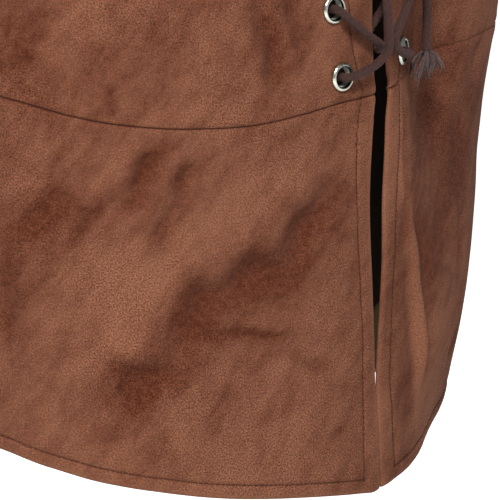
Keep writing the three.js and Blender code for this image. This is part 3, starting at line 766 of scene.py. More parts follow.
def cloth_panel(name, grid, borders, seats, materials):
    """A thin shell over a grid of angles and levels, with its edges turned, stitched or sewn.

    borders names the finish of every border point of the bottom, right, top and left side.
    """
    angles, levels = grid
    rows, columns = angles.shape
    count = rows * columns
    at = np.arange(count).reshape(rows, columns)
    ring = np.concatenate([at[0, :-1], at[:-1, -1], at[-1, :0:-1], at[:0:-1, 0]])
    ring_names = (
        list(borders["bottom"][:-1]) + list(borders["right"][:-1])
        + list(borders["top"][:0:-1]) + list(borders["left"][:0:-1])
    )
    sides = {"bottom": at[0], "right": at[:, -1], "top": at[-1], "left": at[:, 0]}
    base = cloth_point(angles, levels).reshape(-1, 3)
    normal = cloth_normal(angles, levels).reshape(-1, 3)
    across = across_cloth(angles).ravel()
    level = levels.ravel()
    away, stitch_lines = border_distances(base, sides, borders)

    height, dark = crease_relief(across, level)
    height += layered_noise(across, level, CLOTH_WAVES)
    puckers = layered_noise(across, level, PUCKER_WAVES)
    # painted shade, darkest in the stitch grooves and seam valleys
    crevice = np.zeros(count)
    turned = np.zeros(count)
    worn = np.zeros(count)
    for (_, kind), distance in away.items():
        if BORDERS[kind][0]:
            relief, dip_shade, fold_in = hemmed_relief(kind, distance, level, away, puckers)
            turned = np.maximum(turned, fold_in)
            worn = np.maximum(worn, bell(distance, WORN_REACH))
        else:
            relief, dip_shade = sewn_relief(distance, angles.ravel(), puckers)
        height += relief
        crevice = np.maximum(crevice, dip_shade)
    for seat in seats:
        far = np.linalg.norm(base - cloth_point(*seat), axis=1)
        calm = np.exp(-((far / SEAT_FLAT) ** 6))
        height = height * (1 - calm) + SEAT_DENT * (bell(far - SEAT_RIM, 2.0) - calm)
    thick = mix(CLOTH_THICK, TURNED_THICK, turned)
    outer = base + normal * height[:, None]
    inner = outer - normal * thick[:, None]

    # The rim: a half round on a free edge, flat where the border is sewn
    mid = (outer + inner) / 2
    out = outwards(mid.reshape(rows, columns, 3), True)[ring]
    free = np.array([BORDERS[kind][0] for kind in ring_names], float)[:, None]
    half_thick = thick[ring, None] / 2
    rims = []
    for turn in RIM_TURNS:
        reach = math.sin(math.radians(turn)) * free * out
        rims.append(mid[ring] + half_thick * (math.cos(math.radians(turn)) * normal[ring] + reach))
    points = np.concatenate([outer, inner, *rims])

    a, b, c, d = (x.ravel() for x in (at[:-1, :-1], at[:-1, 1:], at[1:, 1:], at[1:, :-1]))
    outer_faces = np.stack([a, b, c, d], 1)
    inner_faces = np.stack([d, c, b, a], 1) + count
    rim_loops = [2 * count + k * len(ring) + np.arange(len(ring)) for k in range(len(RIM_TURNS))]
    loops = [ring, *rim_loops, ring + count]
    rim_faces = np.concatenate([
        np.stack([high, low, np.roll(low, -1), np.roll(high, -1)], 1)
        for high, low in zip(loops[:-1], loops[1:])
    ])
    faces = np.concatenate([outer_faces, rim_faces, inner_faces])
    piece = mesh_object(name, points * MM, faces.tolist(), materials)
    outside = len(outer_faces) + len(rim_faces)
    piece.data.polygons.foreach_set("material_index", [0] * outside + [1] * len(inner_faces))

    every = np.concatenate([np.arange(count), np.arange(count), *[ring] * len(RIM_TURNS)])
    # brushed nap with painted crease shade and highlights, painted crevice shade, the turned share and
    # worn edges
    for label, values in (("brushed", dark), ("crevice", crevice), ("turned", turned), ("worn", worn)):
        store(piece.data, label, values[every])
    flat = np.stack([across, level], 1)
    beyond = outwards(flat.reshape(rows, columns, 2), False)[ring] * half_thick
    flat_rims = [flat[ring] + beyond * share for share in RIM_LAID_FLAT]
    flat = np.concatenate([flat, flat, *flat_rims]) * MM
    lay_uv(piece.data, "flat_cloth", flat[corner_points(piece.data)])
    return piece, base, normal, at, stitch_lines


def punch_eyelets(piece, seats, finish):
    """Cuts the eyelets' holes through a cloth panel."""
    name = piece.name
    points, faces = [], []
    for angle, level in seats:
        axis = cloth_normal(np.array(angle), np.array(level))
        right = unit(np.cross(axis, [0, 0, 1]))
        up = np.cross(right, axis)
        centre = cloth_point(angle, level)
        first = len(points)
        for height in HOLE_REACH:
            for i in range(HOLE_SIDES):
                turn = 2 * math.pi * i / HOLE_SIDES
                spoke = right * math.cos(turn) + up * math.sin(turn)
                points.append((centre + axis * height + EYELET_HOLE * spoke) * MM)
        low = [first + i for i in range(HOLE_SIDES)]
        high = [first + HOLE_SIDES + i for i in range(HOLE_SIDES)]
        for i in range(HOLE_SIDES):
            j = (i + 1) % HOLE_SIDES
            faces.append((low[i], high[i], high[j], low[j]))
        faces.append(tuple(low))
        faces.append(tuple(reversed(high)))
    cutter = mesh_object("hole_cutter", points, faces, [finish], False)
    cut = piece.modifiers.new("eyelet_holes", "BOOLEAN")
    cut.operation = "DIFFERENCE"
    cut.solver = "EXACT"
    cut.object = cutter
    piece.name = "uncut"
    done = solid_mesh(piece, name)
    bpy.data.objects.remove(cutter)
    return done


# Node trees


def feed(tree, socket, value):
    """Links or sets a socket. A colour of three parts gets its alpha."""
    if isinstance(value, bpy.types.NodeSocket):
        tree.links.new(value, socket)
    elif socket.type == "RGBA":
        socket.default_value = (*value, 1)
    else:
        socket.default_value = value


def add_node(tree, kind, settings=None, **inputs):
    """Adds a node. Settings are its own options. Inputs are values or sockets, with _ for a space."""
    node = tree.nodes.new(kind)
    for option, value in (settings or {}).items():
        setattr(node, option, value)
    for label, value in inputs.items():
        key = int(label[1:]) if label[0] == "i" and label[1:].isdigit() else label.replace("_", " ")
        feed(tree, node.inputs[key], value)
    return node


def math_node(tree, operation, a, b=0.0, c=0.0):
    return add_node(tree, "ShaderNodeMath", {"operation": operation}, i0=a, i1=b, i2=c).outputs[0]


def blended(tree, share, a, b, how="MIX"):
    settings = {"data_type": "RGBA", "blend_type": how}
    return add_node(tree, "ShaderNodeMix", settings, i0=share, i6=a, i7=b).outputs[2]


def ranged(tree, value, low, high, to_low=0.0, to_high=1.0):
    settings = {"interpolation_type": "SMOOTHSTEP"}
    node = add_node(
        tree, "ShaderNodeMapRange", settings,
        Value=value, From_Min=low, From_Max=high, To_Min=to_low, To_Max=to_high,
    )
    return node.outputs[0]


def noise(tree, vector, scale, detail=2.0, roughness=0.5, distortion=0.0):
    node = add_node(
        tree, "ShaderNodeTexNoise", None,
        Vector=vector, Scale=scale, Detail=detail, Roughness=roughness, Distortion=distortion,
    )
    return node.outputs["Fac"]


def attribute(tree, name):
    return add_node(tree, "ShaderNodeAttribute", {"attribute_name": name}).outputs["Fac"]


def uv_place(tree, name):
    return add_node(tree, "ShaderNodeUVMap", {"uv_map": name}).outputs[0]


def object_place(tree):
    return add_node(tree, "ShaderNodeTexCoord").outputs["Object"]


def new_group(name, inputs, outputs):
    """A shader group with float or vector inputs, a name and default each, and float outputs."""
    group = bpy.data.node_groups.new(name, "ShaderNodeTree")
    for label, default in inputs:
        kind = "NodeSocketVector" if default is None else "NodeSocketFloat"
        socket = group.interface.new_socket(label, in_out="INPUT", socket_type=kind)
        if default is not None:
            socket.default_value = default
    for label in outputs:
        group.interface.new_socket(label, in_out="OUTPUT", socket_type="NodeSocketFloat")
    return group, group.nodes.new("NodeGroupInput").outputs, group.nodes.new("NodeGroupOutput").inputs


def placed_group(tree, group, **inputs):
    node = tree.nodes.new("ShaderNodeGroup")
    node.node_tree = group
    for label, value in inputs.items():
        feed(tree, node.inputs[label.replace("_", " ")], value)
    return node.outputs


def nap_group():
    """Suede's nap: brushed patches with feathered edges, including the painted crease shade and highlights
    fed in, a mottle and a fine grain.
    """
    inputs = [("Vector", None), ("Brushed", 0.0), ("Patches", 0.5), ("Grain Size", 900.0)]
    group, given, put = new_group("suede_nap", inputs, ["Dark", "Mottle", "Grain", "Height"])
    lean = add_node(
        group, "ShaderNodeMapping", {"vector_type": "TEXTURE"},
        Vector=given["Vector"], Rotation=(0, 0, math.radians(NAP_LEAN)), Scale=(NAP_STRETCH, 1, 1),
    ).outputs[0]
    raw = math_node(group, "MULTIPLY_ADD", given["Brushed"], NAP_SHADING_SHARE, given["Patches"])
    for scale, detail, roughness, strength in NAP_LAYERS:
        cloud = noise(group, lean, scale, detail, roughness, distortion=0.3)
        raw = math_node(group, "MULTIPLY_ADD", math_node(group, "SUBTRACT", cloud, 0.5), strength, raw)
    dark = ranged(group, raw, 0.0, 1.0)
    mottle = noise(group, given["Vector"], scale=320, detail=4, roughness=0.65, distortion=0.2)
    grain = noise(group, given["Vector"], given["Grain Size"], detail=4, roughness=0.95)
    height = math_node(group, "MULTIPLY_ADD", mottle, 0.6, grain)
    for label, value in (("Dark", dark), ("Mottle", mottle), ("Grain", grain), ("Height", height)):
        group.links.new(value, put[label])
    return group


def new_finish(name, **plain):
    """A material, its tree and its shader, with plain values of the shader's inputs."""
    finish = bpy.data.materials.new(name)
    finish.use_nodes = True
    tree = finish.node_tree
    shader = tree.nodes["Principled BSDF"]
    for label, value in plain.items():
        feed(tree, shader.inputs[label.replace("_", " ")], value)
    return finish, tree, shader


def bump(tree, shader, height, distance):
    node = add_node(tree, "ShaderNodeBump", None, Height=height, Distance=distance, Strength=1.0)
    tree.links.new(node.outputs[0], shader.inputs["Normal"])


def suede_finish(nap):
    finish, tree, shader = new_finish(
        "brown_suede", Roughness=0.92, Specular_IOR_Level=0.08,
        Sheen_Weight=0.03, Sheen_Roughness=0.5, Sheen_Tint=SUEDE_SHEEN,
    )
    flat = uv_place(tree, "flat_cloth")
    mask = placed_group(
        tree, nap, Vector=flat, Brushed=attribute(tree, "brushed"), Patches=0.42, Grain_Size=1200.0
    )
    # dark nap patches, partly painted crease shade, lighter where a ridge has a painted highlight
    colour = blended(tree, mask["Dark"], SUEDE_LIGHT, SUEDE_DARK)
    warm = ranged(tree, mask["Mottle"], 0.35, 0.65)
    colour = blended(tree, math_node(tree, "MULTIPLY", warm, 0.25), colour, SUEDE_WARM)
    grain = ranged(tree, mask["Grain"], 0.34, 0.7, 0.1, 2.2)
    grainy = ranged(tree, noise(tree, flat, scale=9, detail=2), 0.4, 0.6, 0.6, 1.0)
    colour = blended(tree, grainy, colour, grain, "MULTIPLY")
    colour = blended(tree, math_node(tree, "MULTIPLY", attribute(tree, "worn"), 0.2), colour, SUEDE_WORN)
    # painted shade in the stitch grooves and seam valleys
    colour = blended(tree, attribute(tree, "crevice"), colour, SUEDE_CREVICE_SHADE)
    tree.links.new(colour, shader.inputs["Base Color"])
    bump(tree, shader, mask["Height"], distance=0.0005)
    return finish


def wrong_side_finish(nap):
    finish, tree, shader = new_finish("suede_wrong_side", Roughness=0.95, Specular_IOR_Level=0.1)
    flat = uv_place(tree, "flat_cloth")
    mask = placed_group(tree, nap, Vector=flat, Brushed=0.0, Patches=0.2, Grain_Size=1300.0)
    # painted shade: a near-black inside, and a turned hem as dull olive as it looks in shadow
    colour = blended(tree, attribute(tree, "turned"), WRONG_SIDE, TURNED_HEM)
    grain = ranged(tree, mask["Grain"], 0.3, 0.7, 0.75, 1.25)
    colour = blended(tree, 1.0, colour, grain, "MULTIPLY")
    tree.links.new(colour, shader.inputs["Base Color"])
    bump(tree, shader, mask["Height"], distance=0.0003)
    return finish


def thread_finish():
    finish, tree, shader = new_finish("dark_thread", Roughness=0.75, Specular_IOR_Level=0.2)
    twist = noise(tree, object_place(tree), scale=2600, detail=2)
    tree.links.new(blended(tree, twist, THREAD_DARK, THREAD_LIGHT), shader.inputs["Base Color"])
    bump(tree, shader, twist, distance=0.0001)
    return finish


def lace_finish():
    finish, tree, shader = new_finish(
        "braided_lace", Roughness=0.78, Specular_IOR_Level=0.2, Sheen_Weight=0.05, Sheen_Tint=LACE_SHEEN
    )
    fibre = noise(tree, uv_place(tree, "cord"), scale=1.0, detail=3, roughness=0.7)
    mottle = noise(tree, object_place(tree), scale=260, detail=3)
    colour = blended(tree, ranged(tree, fibre, 0.3, 0.7), LACE_DARK, LACE_LIGHT)
    brown = math_node(tree, "MULTIPLY", ranged(tree, mottle, 0.4, 0.7), 0.45)
    colour = blended(tree, brown, colour, LACE_BROWN)
    # painted shade in the braid's hollows
    colour = blended(tree, attribute(tree, "crevice"), colour, LACE_CREVICE_SHADE)
    tree.links.new(colour, shader.inputs["Base Color"])
    bump(tree, shader, fibre, distance=0.00025)
    return finish


def fray_finish():
    finish, tree, shader = new_finish("frayed_strands", Roughness=0.75, Sheen_Weight=0.1)
    tone = noise(tree, object_place(tree), scale=900, detail=2)
    colour = blended(tree, ranged(tree, tone, 0.3, 0.7), FRAY_DARK, FRAY_LIGHT)
    tree.links.new(colour, shader.inputs["Base Color"])
    bump(tree, shader, tone, distance=0.00008)
    return finish


def eyelet_finish():
    finish, tree, shader = new_finish("nickel_eyelet")
    place = object_place(tree)
    smudge = noise(tree, place, scale=240, detail=3)
    scratch = noise(tree, place, scale=1500, detail=3, roughness=0.7)
    bore = attribute(tree, "bore")
    colour = blended(tree, smudge, NICKEL_DULL, NICKEL_BRIGHT)
    colour = blended(tree, bore, colour, NICKEL_BORE)
    # painted shade: a dark line on the lip between rim and bore
    colour = blended(tree, attribute(tree, "tarnish"), colour, NICKEL_LIP_SHADE)
    tree.links.new(colour, shader.inputs["Base Color"])
    polish = ranged(tree, scratch, 0.2, 0.8, 0.16, 0.34)
    rough = math_node(tree, "MULTIPLY_ADD", bore, 0.4, polish)
    tree.links.new(rough, shader.inputs["Roughness"])
    tree.links.new(math_node(tree, "SUBTRACT", 1.0, bore), shader.inputs["Metallic"])
    bump(tree, shader, scratch, distance=0.00003)
    return finish


def floor_finish():
    finish, tree, shader = new_finish("pale_floor", Roughness=0.9, Emission_Strength=1.0)
    length = add_node(tree, "ShaderNodeVectorMath", {"operation": "LENGTH"}, i0=object_place(tree))
    beyond = ranged(tree, length.outputs["Value"], 0.6, 2.2)
    # painted shadow: grey under the garment, pale and glowing further out
    tree.links.new(blended(tree, beyond, FLOOR_SHADOW_BELOW, FLOOR_BEYOND), shader.inputs["Base Color"])
    tree.links.new(blended(tree, beyond, (0, 0, 0), FLOOR_GLOW), shader.inputs["Emission Color"])
    return finish


nap = nap_group()
suede = suede_finish(nap)
wrong_side = wrong_side_finish(nap)
thread = thread_finish()
braid = lace_finish()
fray = fray_finish()
nickel = eyelet_finish()


# Cords


def cord_curve(points):
    """Points of the centripetal curve through the route's points, close together."""
    points = np.array(points, float)
    points = np.concatenate([[2 * points[0] - points[1]], points, [2 * points[-1] - points[-2]]])
    found = []
    share = np.linspace(0, 1, 40, endpoint=False)[:, None]
    for p0, p1, p2, p3 in zip(points[:-3], points[1:-2], points[2:-1], points[3:]):
        steps = ((p0, p1), (p1, p2), (p2, p3))
        d0, d1, d2 = (max(float(np.linalg.norm(b - a)) ** 0.5, 1e-4) for a, b in steps)
        start = ((p1 - p0) / d0 - (p2 - p0) / (d0 + d1) + (p2 - p1) / d1) * d1
        end = ((p2 - p1) / d1 - (p3 - p1) / (d1 + d2) + (p3 - p2) / d2) * d1
        found.append(
            p1 + start * share
            + (3 * (p2 - p1) - 2 * start - end) * share**2
            + (2 * (p1 - p2) + start + end) * share**3
        )
    return np.concatenate([*found, points[-2:-1]])


def evenly(line, step):
    along = np.concatenate([[0], np.cumsum(np.linalg.norm(np.diff(line, axis=0), axis=1))])
    places = np.linspace(0, along[-1], max(2, round(along[-1] / step)) + 1)
    return np.stack([np.interp(places, along, line[:, k]) for k in range(3)], 1), places


def carried_frames(line):
    """Directions along the line, and one across it that turns as little as it can."""
    along = unit(np.gradient(line, axis=0))
    sides = np.empty_like(line)
    side = np.cross(along[0], [0.0, 0.3, 1.0])
    for i, direction in enumerate(along):
        side = side - direction * (side @ direction)
        side = side / np.linalg.norm(side)
        sides[i] = side
    return along, sides, np.cross(along, sides)


def braided_cord(name, route):
    """A round braid along the route: a closed tube with its strands raised. Returns it and its path."""
    line, places = evenly(cord_curve(route), CORD_STEP)
    _, side, other = carried_frames(line)
    turn = np.arange(CORD_SIDES) / CORD_SIDES
    twist = places[:, None] * BRAID_STRANDS / BRAID_PITCH
    left = BRAID_STRANDS * turn[None] + twist
    right = BRAID_STRANDS * turn[None] - twist
    over = (np.floor(left) + np.floor(right)) % 2 == 0
    strand = np.where(over, left % 1, right % 1)
    other_strand = np.where(over, right % 1, left % 1)
    crown = np.sqrt(np.clip(1 - (2 * strand - 1) ** 2, 0, 1))
    crown *= 0.75 + 0.25 * np.sin(np.pi * other_strand)
    wander = 1 + 0.02 * np.sin(places * 0.9)[:, None]
    reach = LACE_DIAMETER / 2 * wander * (1 - BRAID_DEPTH * (1 - crown))
    cos = np.cos(2 * np.pi * turn)[None, :, None]
    sin = np.sin(2 * np.pi * turn)[None, :, None]
    points = line[:, None] + (cos * side[:, None] + sin * other[:, None]) * reach[..., None]
    at = np.arange(len(line) * CORD_SIDES).reshape(len(line), CORD_SIDES)
    low, high = at[:-1], at[1:]
    faces = np.stack([low, np.roll(low, -1, 1), np.roll(high, -1, 1), high], -1).reshape(-1, 4).tolist()
    faces.append(tuple(at[0][::-1]))
    faces.append(tuple(at[-1]))
    piece = mesh_object(name, points.reshape(-1, 3) * MM, faces, [braid])
    # painted shade in the hollows between the braid's strands
    store(piece.data, "crevice", 0.85 * np.clip(1 - crown / 0.62, 0, 1).ravel())
    corner = corner_points(piece.data)
    row, column = corner // CORD_SIDES, corner % CORD_SIDES
    lean = np.where(over, 1, -1)[row, column]
    fibre_round = FIBRES_ROUND * (column / CORD_SIDES + lean * places[row] / BRAID_PITCH)
    lay_uv(piece.data, "cord", np.stack([fibre_round, places[row] * FIBRE_STRETCH], 1))
    return piece, (line * MM).tolist(), float(places[-1]) * MM


def between(start, end, share, standoff, sag=0):
    return cloth_point(mix(start[0], end[0], share), mix(start[1], end[1], share) - sag, standoff)


def face_run(start, end, height):
    """The lace on one face of the cloth, from one eyelet to the next."""
    near = height + math.copysign(BEND_RISE, height)
    heights = (near, height, height, height, near)
    return [between(start, end, share, h) for share, h in zip((0.11, 0.3, 0.5, 0.7, 0.89), heights)]


def dive_run(start, end):
    """The lace outside one front, then under the other one's edge."""
    middle = abs(start[0]) / (abs(start[0]) + abs(end[0]))
    # share of the way, height, sag
    steps = [
        (0.11, OVER + BEND_RISE, 2.5), (middle / 2, OVER, 5), (middle - 0.1, 3.6, 6),
        (middle, -0.8, 6.5), (middle + 0.09, -5.6, 5), (0.9, UNDER, 1),
    ]
    return [between(start, end, share, height, sag) for share, height, sag in steps]


def out_through(seat):
    return [cloth_point(*seat, height) for height in BORE_HEIGHTS]


def crossing(start, end, outside):
    """The lace from one eyelet to the next, and through that one."""
    through = out_through(end)
    if outside:
        return face_run(start, end, OVER) + through[::-1]
    return face_run(start, end, UNDER) + through


def lacing_route(right, left):
    """From the wearer's right lowest eyelet up one way, across the top and down the other way."""
    route = out_through(right[0])[1::-1]
    start = right[0]
    for pair in range(1, PAIRS):
        outside = pair % 2 == 0
        end = right[pair] if outside else left[pair]
        route += crossing(start, end, outside)
        start = end
    route += dive_run(left[-1], right[-1]) + out_through(right[-1])
    start = right[-1]
    for pair in range(PAIRS - 2, 0, -1):
        outside = pair % 2 == 0
        end = left[pair] if outside else right[pair]
        route += crossing(start, end, outside)
        start = end
    return route + dive_run(right[1], left[0]) + out_through(left[0])[:2]


def outside_knot(line):
    """The part of the route that shows outside the bow's knot."""
    far = np.sqrt((((line - KNOT_CENTRE) / (np.array(KNOT_HALF) - KNOT_TUCK)) ** 2).sum(1))
    keep = np.flatnonzero(far >= 1)
    return line[keep[0] : keep[-1] + 1]


right_seats = [eyelet_seat(RIGHT_EYELETS, pair) for pair in range(PAIRS)]
left_seats = [eyelet_seat(LEFT_EYELETS, pair) for pair in range(PAIRS)]
lowest_right = [cloth_point(*right_seats[0], height) for height in (-0.7, 2.2)]
lowest_left = [cloth_point(*left_seats[0], height) for height in (-0.7, 2.2)]

# node, route
FREE_CORDS = {
    "lace_end_right": lowest_right + RIGHT_END,
    "lace_end_left": lowest_left + LEFT_END,
    "bow_loop_right": RIGHT_LOOP,
    "bow_loop_left": LEFT_LOOP,
    "lace_tail_right": RIGHT_TAIL,
    "lace_tail_left": LEFT_TAIL,
}
cords = {}
for node, route in FREE_CORDS.items():
    cords[node] = braided_cord("braid_" + node, outside_knot(cord_curve(route)))
lacing = braided_cord("braid_lacing", lacing_route(right_seats, left_seats))


def bow_knot():
    """The bow's knot: a band of the same cord drawn round the strands, over a crossing strand."""
    centre = np.array(KNOT_CENTRE, float)
    band, cross = [], []
    for i in range(KNOT_STEPS + 1):
        turn = 2 * math.pi * i / KNOT_STEPS * KNOT_TURNS
        drift = 1.6 * math.sin(turn * 0.5) - 0.8
        band.append(centre + (drift, -3.4 * math.sin(turn), 3.9 * math.cos(turn)))
    for share in np.linspace(-1, 1, 9):
        lift = math.cos(share * math.pi / 2)
        cross.append(centre + (5.6 * share, -2.3 * lift + 0.6, 2.0 * share + 0.6))
    first = braided_cord("knot_band", band)[0]
    second = braided_cord("knot_cross", cross)[0]
    bpy.ops.object.select_all(action="DESELECT")
    for piece in (first, second):
        piece.select_set(True)
    bpy.context.view_layer.objects.active = first
    bpy.ops.object.join()
    first.name = "knot_of_bow"
    return first


knot = bow_knot()


# Geometry Nodes


def geometry_group(name, inputs):
    """A geometry tree with a Geometry input and output, and the stated inputs: label, socket kind."""
    group = bpy.data.node_groups.new(name, "GeometryNodeTree")
    group.interface.new_socket("Geometry", in_out="INPUT", socket_type="NodeSocketGeometry")
    for label, kind in inputs:
        group.interface.new_socket(label, in_out="INPUT", socket_type="NodeSocket" + kind)
    group.interface.new_socket("Geometry", in_out="OUTPUT", socket_type="NodeSocketGeometry")
    given = group.nodes.new("NodeGroupInput").outputs
    put = group.nodes.new("NodeGroupOutput").inputs
    return group, given, put


def named_field(group, name, kind="FLOAT_VECTOR"):
    node = add_node(group, "GeometryNodeInputNamedAttribute", {"data_type": kind})
    node.inputs["Name"].default_value = name
    return node.outputs["Attribute"]


def finished(group, geometry, given, put):
    """Ends a tree: instances made real, shaded smooth, with the given finish."""
    real = add_node(group, "GeometryNodeRealizeInstances", None, Geometry=geometry).outputs[0]
    shaded = add_node(group, "GeometryNodeSetShadeSmooth", None, Geometry=real).outputs[0]
    done = add_node(group, "GeometryNodeSetMaterial", None, Geometry=shaded, Material=given["Finish"])
    group.links.new(done.outputs[0], put["Geometry"])


def facing(group, along, out):
    """A rotation with X along the first direction and Z as near as it can be to the second."""
    first = add_node(group, "FunctionNodeAlignRotationToVector", {"axis": "X"}, Vector=along).outputs[0]
    turned = add_node(
        group, "FunctionNodeAlignRotationToVector", {"axis": "Z", "pivot_axis": "X"},
        Rotation=first, Vector=out,
    )
    return turned.outputs[0]


def stitch_tree():
    """Stitches along the edges of a mesh of lines, standing on the cloth by its out attribute."""
    inputs = [("Pitch", "Float"), ("Length", "Float"), ("Width", "Float"), ("Finish", "Material")]
    group, given, put = geometry_group("stitches_along_lines", inputs)
    lines = add_node(group, "GeometryNodeMeshToCurve", None, Mesh=given["Geometry"]).outputs[0]
    even = add_node(
        group, "GeometryNodeResampleCurve", {"mode": "LENGTH"}, Curve=lines, Length=given["Pitch"]
    ).outputs[0]
    ball = add_node(group, "GeometryNodeMeshUVSphere", None, Segments=8, Rings=5, Radius=0.5)
    size = add_node(
        group, "ShaderNodeCombineXYZ", None, X=given["Length"], Y=given["Width"], Z=given["Width"]
    ).outputs[0]
    along = add_node(group, "GeometryNodeInputTangent").outputs[0]
    rotation = facing(group, along, named_field(group, "out"))
    sewn = add_node(
        group, "GeometryNodeInstanceOnPoints", None,
        Points=even, Instance=ball.outputs["Mesh"], Rotation=rotation, Scale=size,
    ).outputs[0]
    finished(group, sewn, given, put)
    return group


def eyelet_tree():
    """A turned ring at every point of a mesh, facing along its out attribute."""
    inputs = [("Ring", "Object"), ("Finish", "Material")]
    group, given, put = geometry_group("eyelets_on_seats", inputs)
    ring = add_node(group, "GeometryNodeObjectInfo", None, Object=given["Ring"]).outputs["Geometry"]
    rotation = add_node(
        group, "FunctionNodeAlignRotationToVector", {"axis": "Z"}, Vector=named_field(group, "out")
    ).outputs[0]
    set_in = add_node(
        group, "GeometryNodeInstanceOnPoints", None,
        Points=given["Geometry"], Instance=ring, Rotation=rotation,
    ).outputs[0]
    finished(group, set_in, given, put)
    return group


def strand_tree():
    """A thin round strand along every line of a mesh, thinner towards its tip by its girth attribute."""
    inputs = [("Radius", "Float"), ("Finish", "Material")]
    group, given, put = geometry_group("strands_along_lines", inputs)
    lines = add_node(group, "GeometryNodeMeshToCurve", None, Mesh=given["Geometry"]).outputs[0]
    section = add_node(
        group, "GeometryNodeCurvePrimitiveCircle", None, Resolution=5, Radius=given["Radius"]
    ).outputs[0]
    strand = add_node(
        group, "GeometryNodeCurveToMesh", None, Curve=lines, Profile_Curve=section,
        Scale=named_field(group, "girth", "FLOAT"), Fill_Caps=True,
    )
    finished(group, strand.outputs[0], given, put)
    return group


def grown(base, tree, name, **values):
    """Runs a geometry tree on a piece, and returns the result as a plain piece of the given name."""
    grow = base.modifiers.new(tree.name, "NODES")
    grow.node_group = tree
    for item in tree.interface.items_tree:
        if item.in_out == "INPUT" and item.name in values:
            grow[item.identifier] = values[item.name]
    return solid_mesh(base, name)


def line_object(name, lines, outs=None, girths=None):
    """A mesh of open lines, with the direction out of the cloth or the girth at every point."""
    points = np.concatenate(lines)
    edges, first = [], 0
    for line in lines:
        edges += [(first + i, first + i + 1) for i in range(len(line) - 1)]
        first += len(line)
    mesh = bpy.data.meshes.new(name)
    mesh.from_pydata([tuple(p) for p in points * MM], edges, [])
    if outs is not None:
        store(mesh, "out", np.concatenate(outs))
    if girths is not None:
        store(mesh, "girth", np.concatenate(girths))
    return linked(name, mesh)


STITCH_TREE = stitch_tree()
EYELET_TREE = eyelet_tree()
STRAND_TREE = strand_tree()


def stitches_for(name, piece, base, normal, at, stitch_lines):
    """Stitches at each free edge's inset, laid on the finished cloth."""
    mesh = piece.data
    faces = [tuple(p.vertices) for p in mesh.polygons]
    surface = BVHTree.FromPolygons([v.co for v in mesh.vertices], faces)
    lines, outs = [], []
    for kind, indices in stitch_lines:
        edge, up = base[indices], normal[indices]
        along = unit(np.gradient(edge, axis=0))
        inward = unit(np.cross(up, along))
        inner_point = base[at[at.shape[0] // 2, at.shape[1] // 2]]
        if ((inner_point - edge) * inward).sum() < 0:
            inward = -inward
        wanted, _ = evenly(edge + inward * stitch_inset(kind, edge[:, 2])[:, None], STITCH_LINE_STEP)
        for other_kind, other_indices in stitch_lines:
            if other_kind != kind:
                far = distance_to(wanted, base[other_indices])
                wanted = wanted[far > stitch_inset(other_kind, wanted[:, 2]) - STITCH_OVERRUN]
        line, out = [], []
        for point in wanted:
            place, face_out, _, _ = surface.find_nearest(Vector(point * MM))
            line.append(np.array(place) / MM + np.array(face_out) * STITCH_STANDOFF)
            out.append(np.array(face_out))
        lines.append(np.array(line))
        outs.append(np.array(out))
    base_lines = line_object("stitch_lines", lines, outs)
    return grown(
        base_lines, STITCH_TREE, name,
        Pitch=STITCH_PITCH, Length=STITCH_LENGTH, Width=STITCH_WIDTH, Finish=thread,
    )


# Panels


def labels(count, first, second=None, change=None):
    """The finish of a border's points: one finish, or a second one from the stated index on."""
    if second is None:
        return [first] * count
    return [first if i <= change else second for i in range(count)]


def front_borders(side, grid):
    rows, columns = grid[0].shape
    under = int(np.searchsorted(BODICE_LEVELS, UNDERARM_LEVEL + 0.5))
    free = labels(rows, "edge")
    sewn = labels(rows, "side", "armhole", under)
    return {
        "bottom": labels(columns, "waist"),
        "top": labels(columns, "shoulder"),
        "left": free if side > 0 else sewn,
        "right": sewn if side > 0 else free,
    }


def back_borders(grid):
    rows, columns = grid[0].shape
    under = int(np.searchsorted(BODICE_LEVELS, UNDERARM_LEVEL + 0.5))
    sewn = labels(rows, "side", "armhole", under)
    from_middle = np.abs(BACK_SHARES - 0.5)
    top = ["neck" if share < BACK_NECK_SHARE else "shoulder" for share in from_middle]
    return {"bottom": labels(columns, "waist"), "top": top, "left": sewn, "right": sewn}


def peplum_borders(side, grid):
    rows, columns = grid[0].shape
    free = labels(rows, "edge")
    sewn = labels(rows, "side")
    return {
        "bottom": labels(columns, "hem"),
        "top": labels(columns, "waist"),
        "left": free if side > 0 else sewn,
        "right": free if side < 0 else sewn,
    }


cloth = [suede, wrong_side]
panels, sewing = {}, {}


def make_panel(node, grid, borders, seats=()):
    piece, base, normal, at, stitch_lines = cloth_panel("suede_" + node, grid, borders, seats, cloth)
    if seats:
        piece = punch_eyelets(piece, seats, wrong_side)
    panels[node] = piece
    if stitch_lines:
        sewing[node] = stitches_for("stitches_" + node, piece, base, normal, at, stitch_lines)


for side, word, seats in ((-1, "right", right_seats), (1, "left", left_seats)):
    grid = front_grid(side)
    make_panel("front_" + word, grid, front_borders(side, grid), seats)
    grid = peplum_front_grid(side)
    make_panel("peplum_front_" + word, grid, peplum_borders(side, grid))
grid = back_grid()
make_panel("back", grid, back_borders(grid))
grid = peplum_back_grid()
make_panel("peplum_back", grid, peplum_borders(0, grid))


# Eyelets


def turned_ring(name, profile, sides):
    """A closed ring turned round Z from a profile of radius and height."""
    points = []
    for i in range(sides):
        turn = 2 * math.pi * i / sides
        points += [(r * math.cos(turn) * MM, r * math.sin(turn) * MM, h * MM) for r, h in profile]
    count = len(profile)
    faces = []
    for i in range(sides):
        for j in range(count):
            a, b = i * count + j, i * count + (j + 1) % count
            c, d = ((i + 1) % sides) * count + (j + 1) % count, ((i + 1) % sides) * count + j
            faces.append((a, d, c, b))
    return mesh_object(name, points, faces, [nickel])


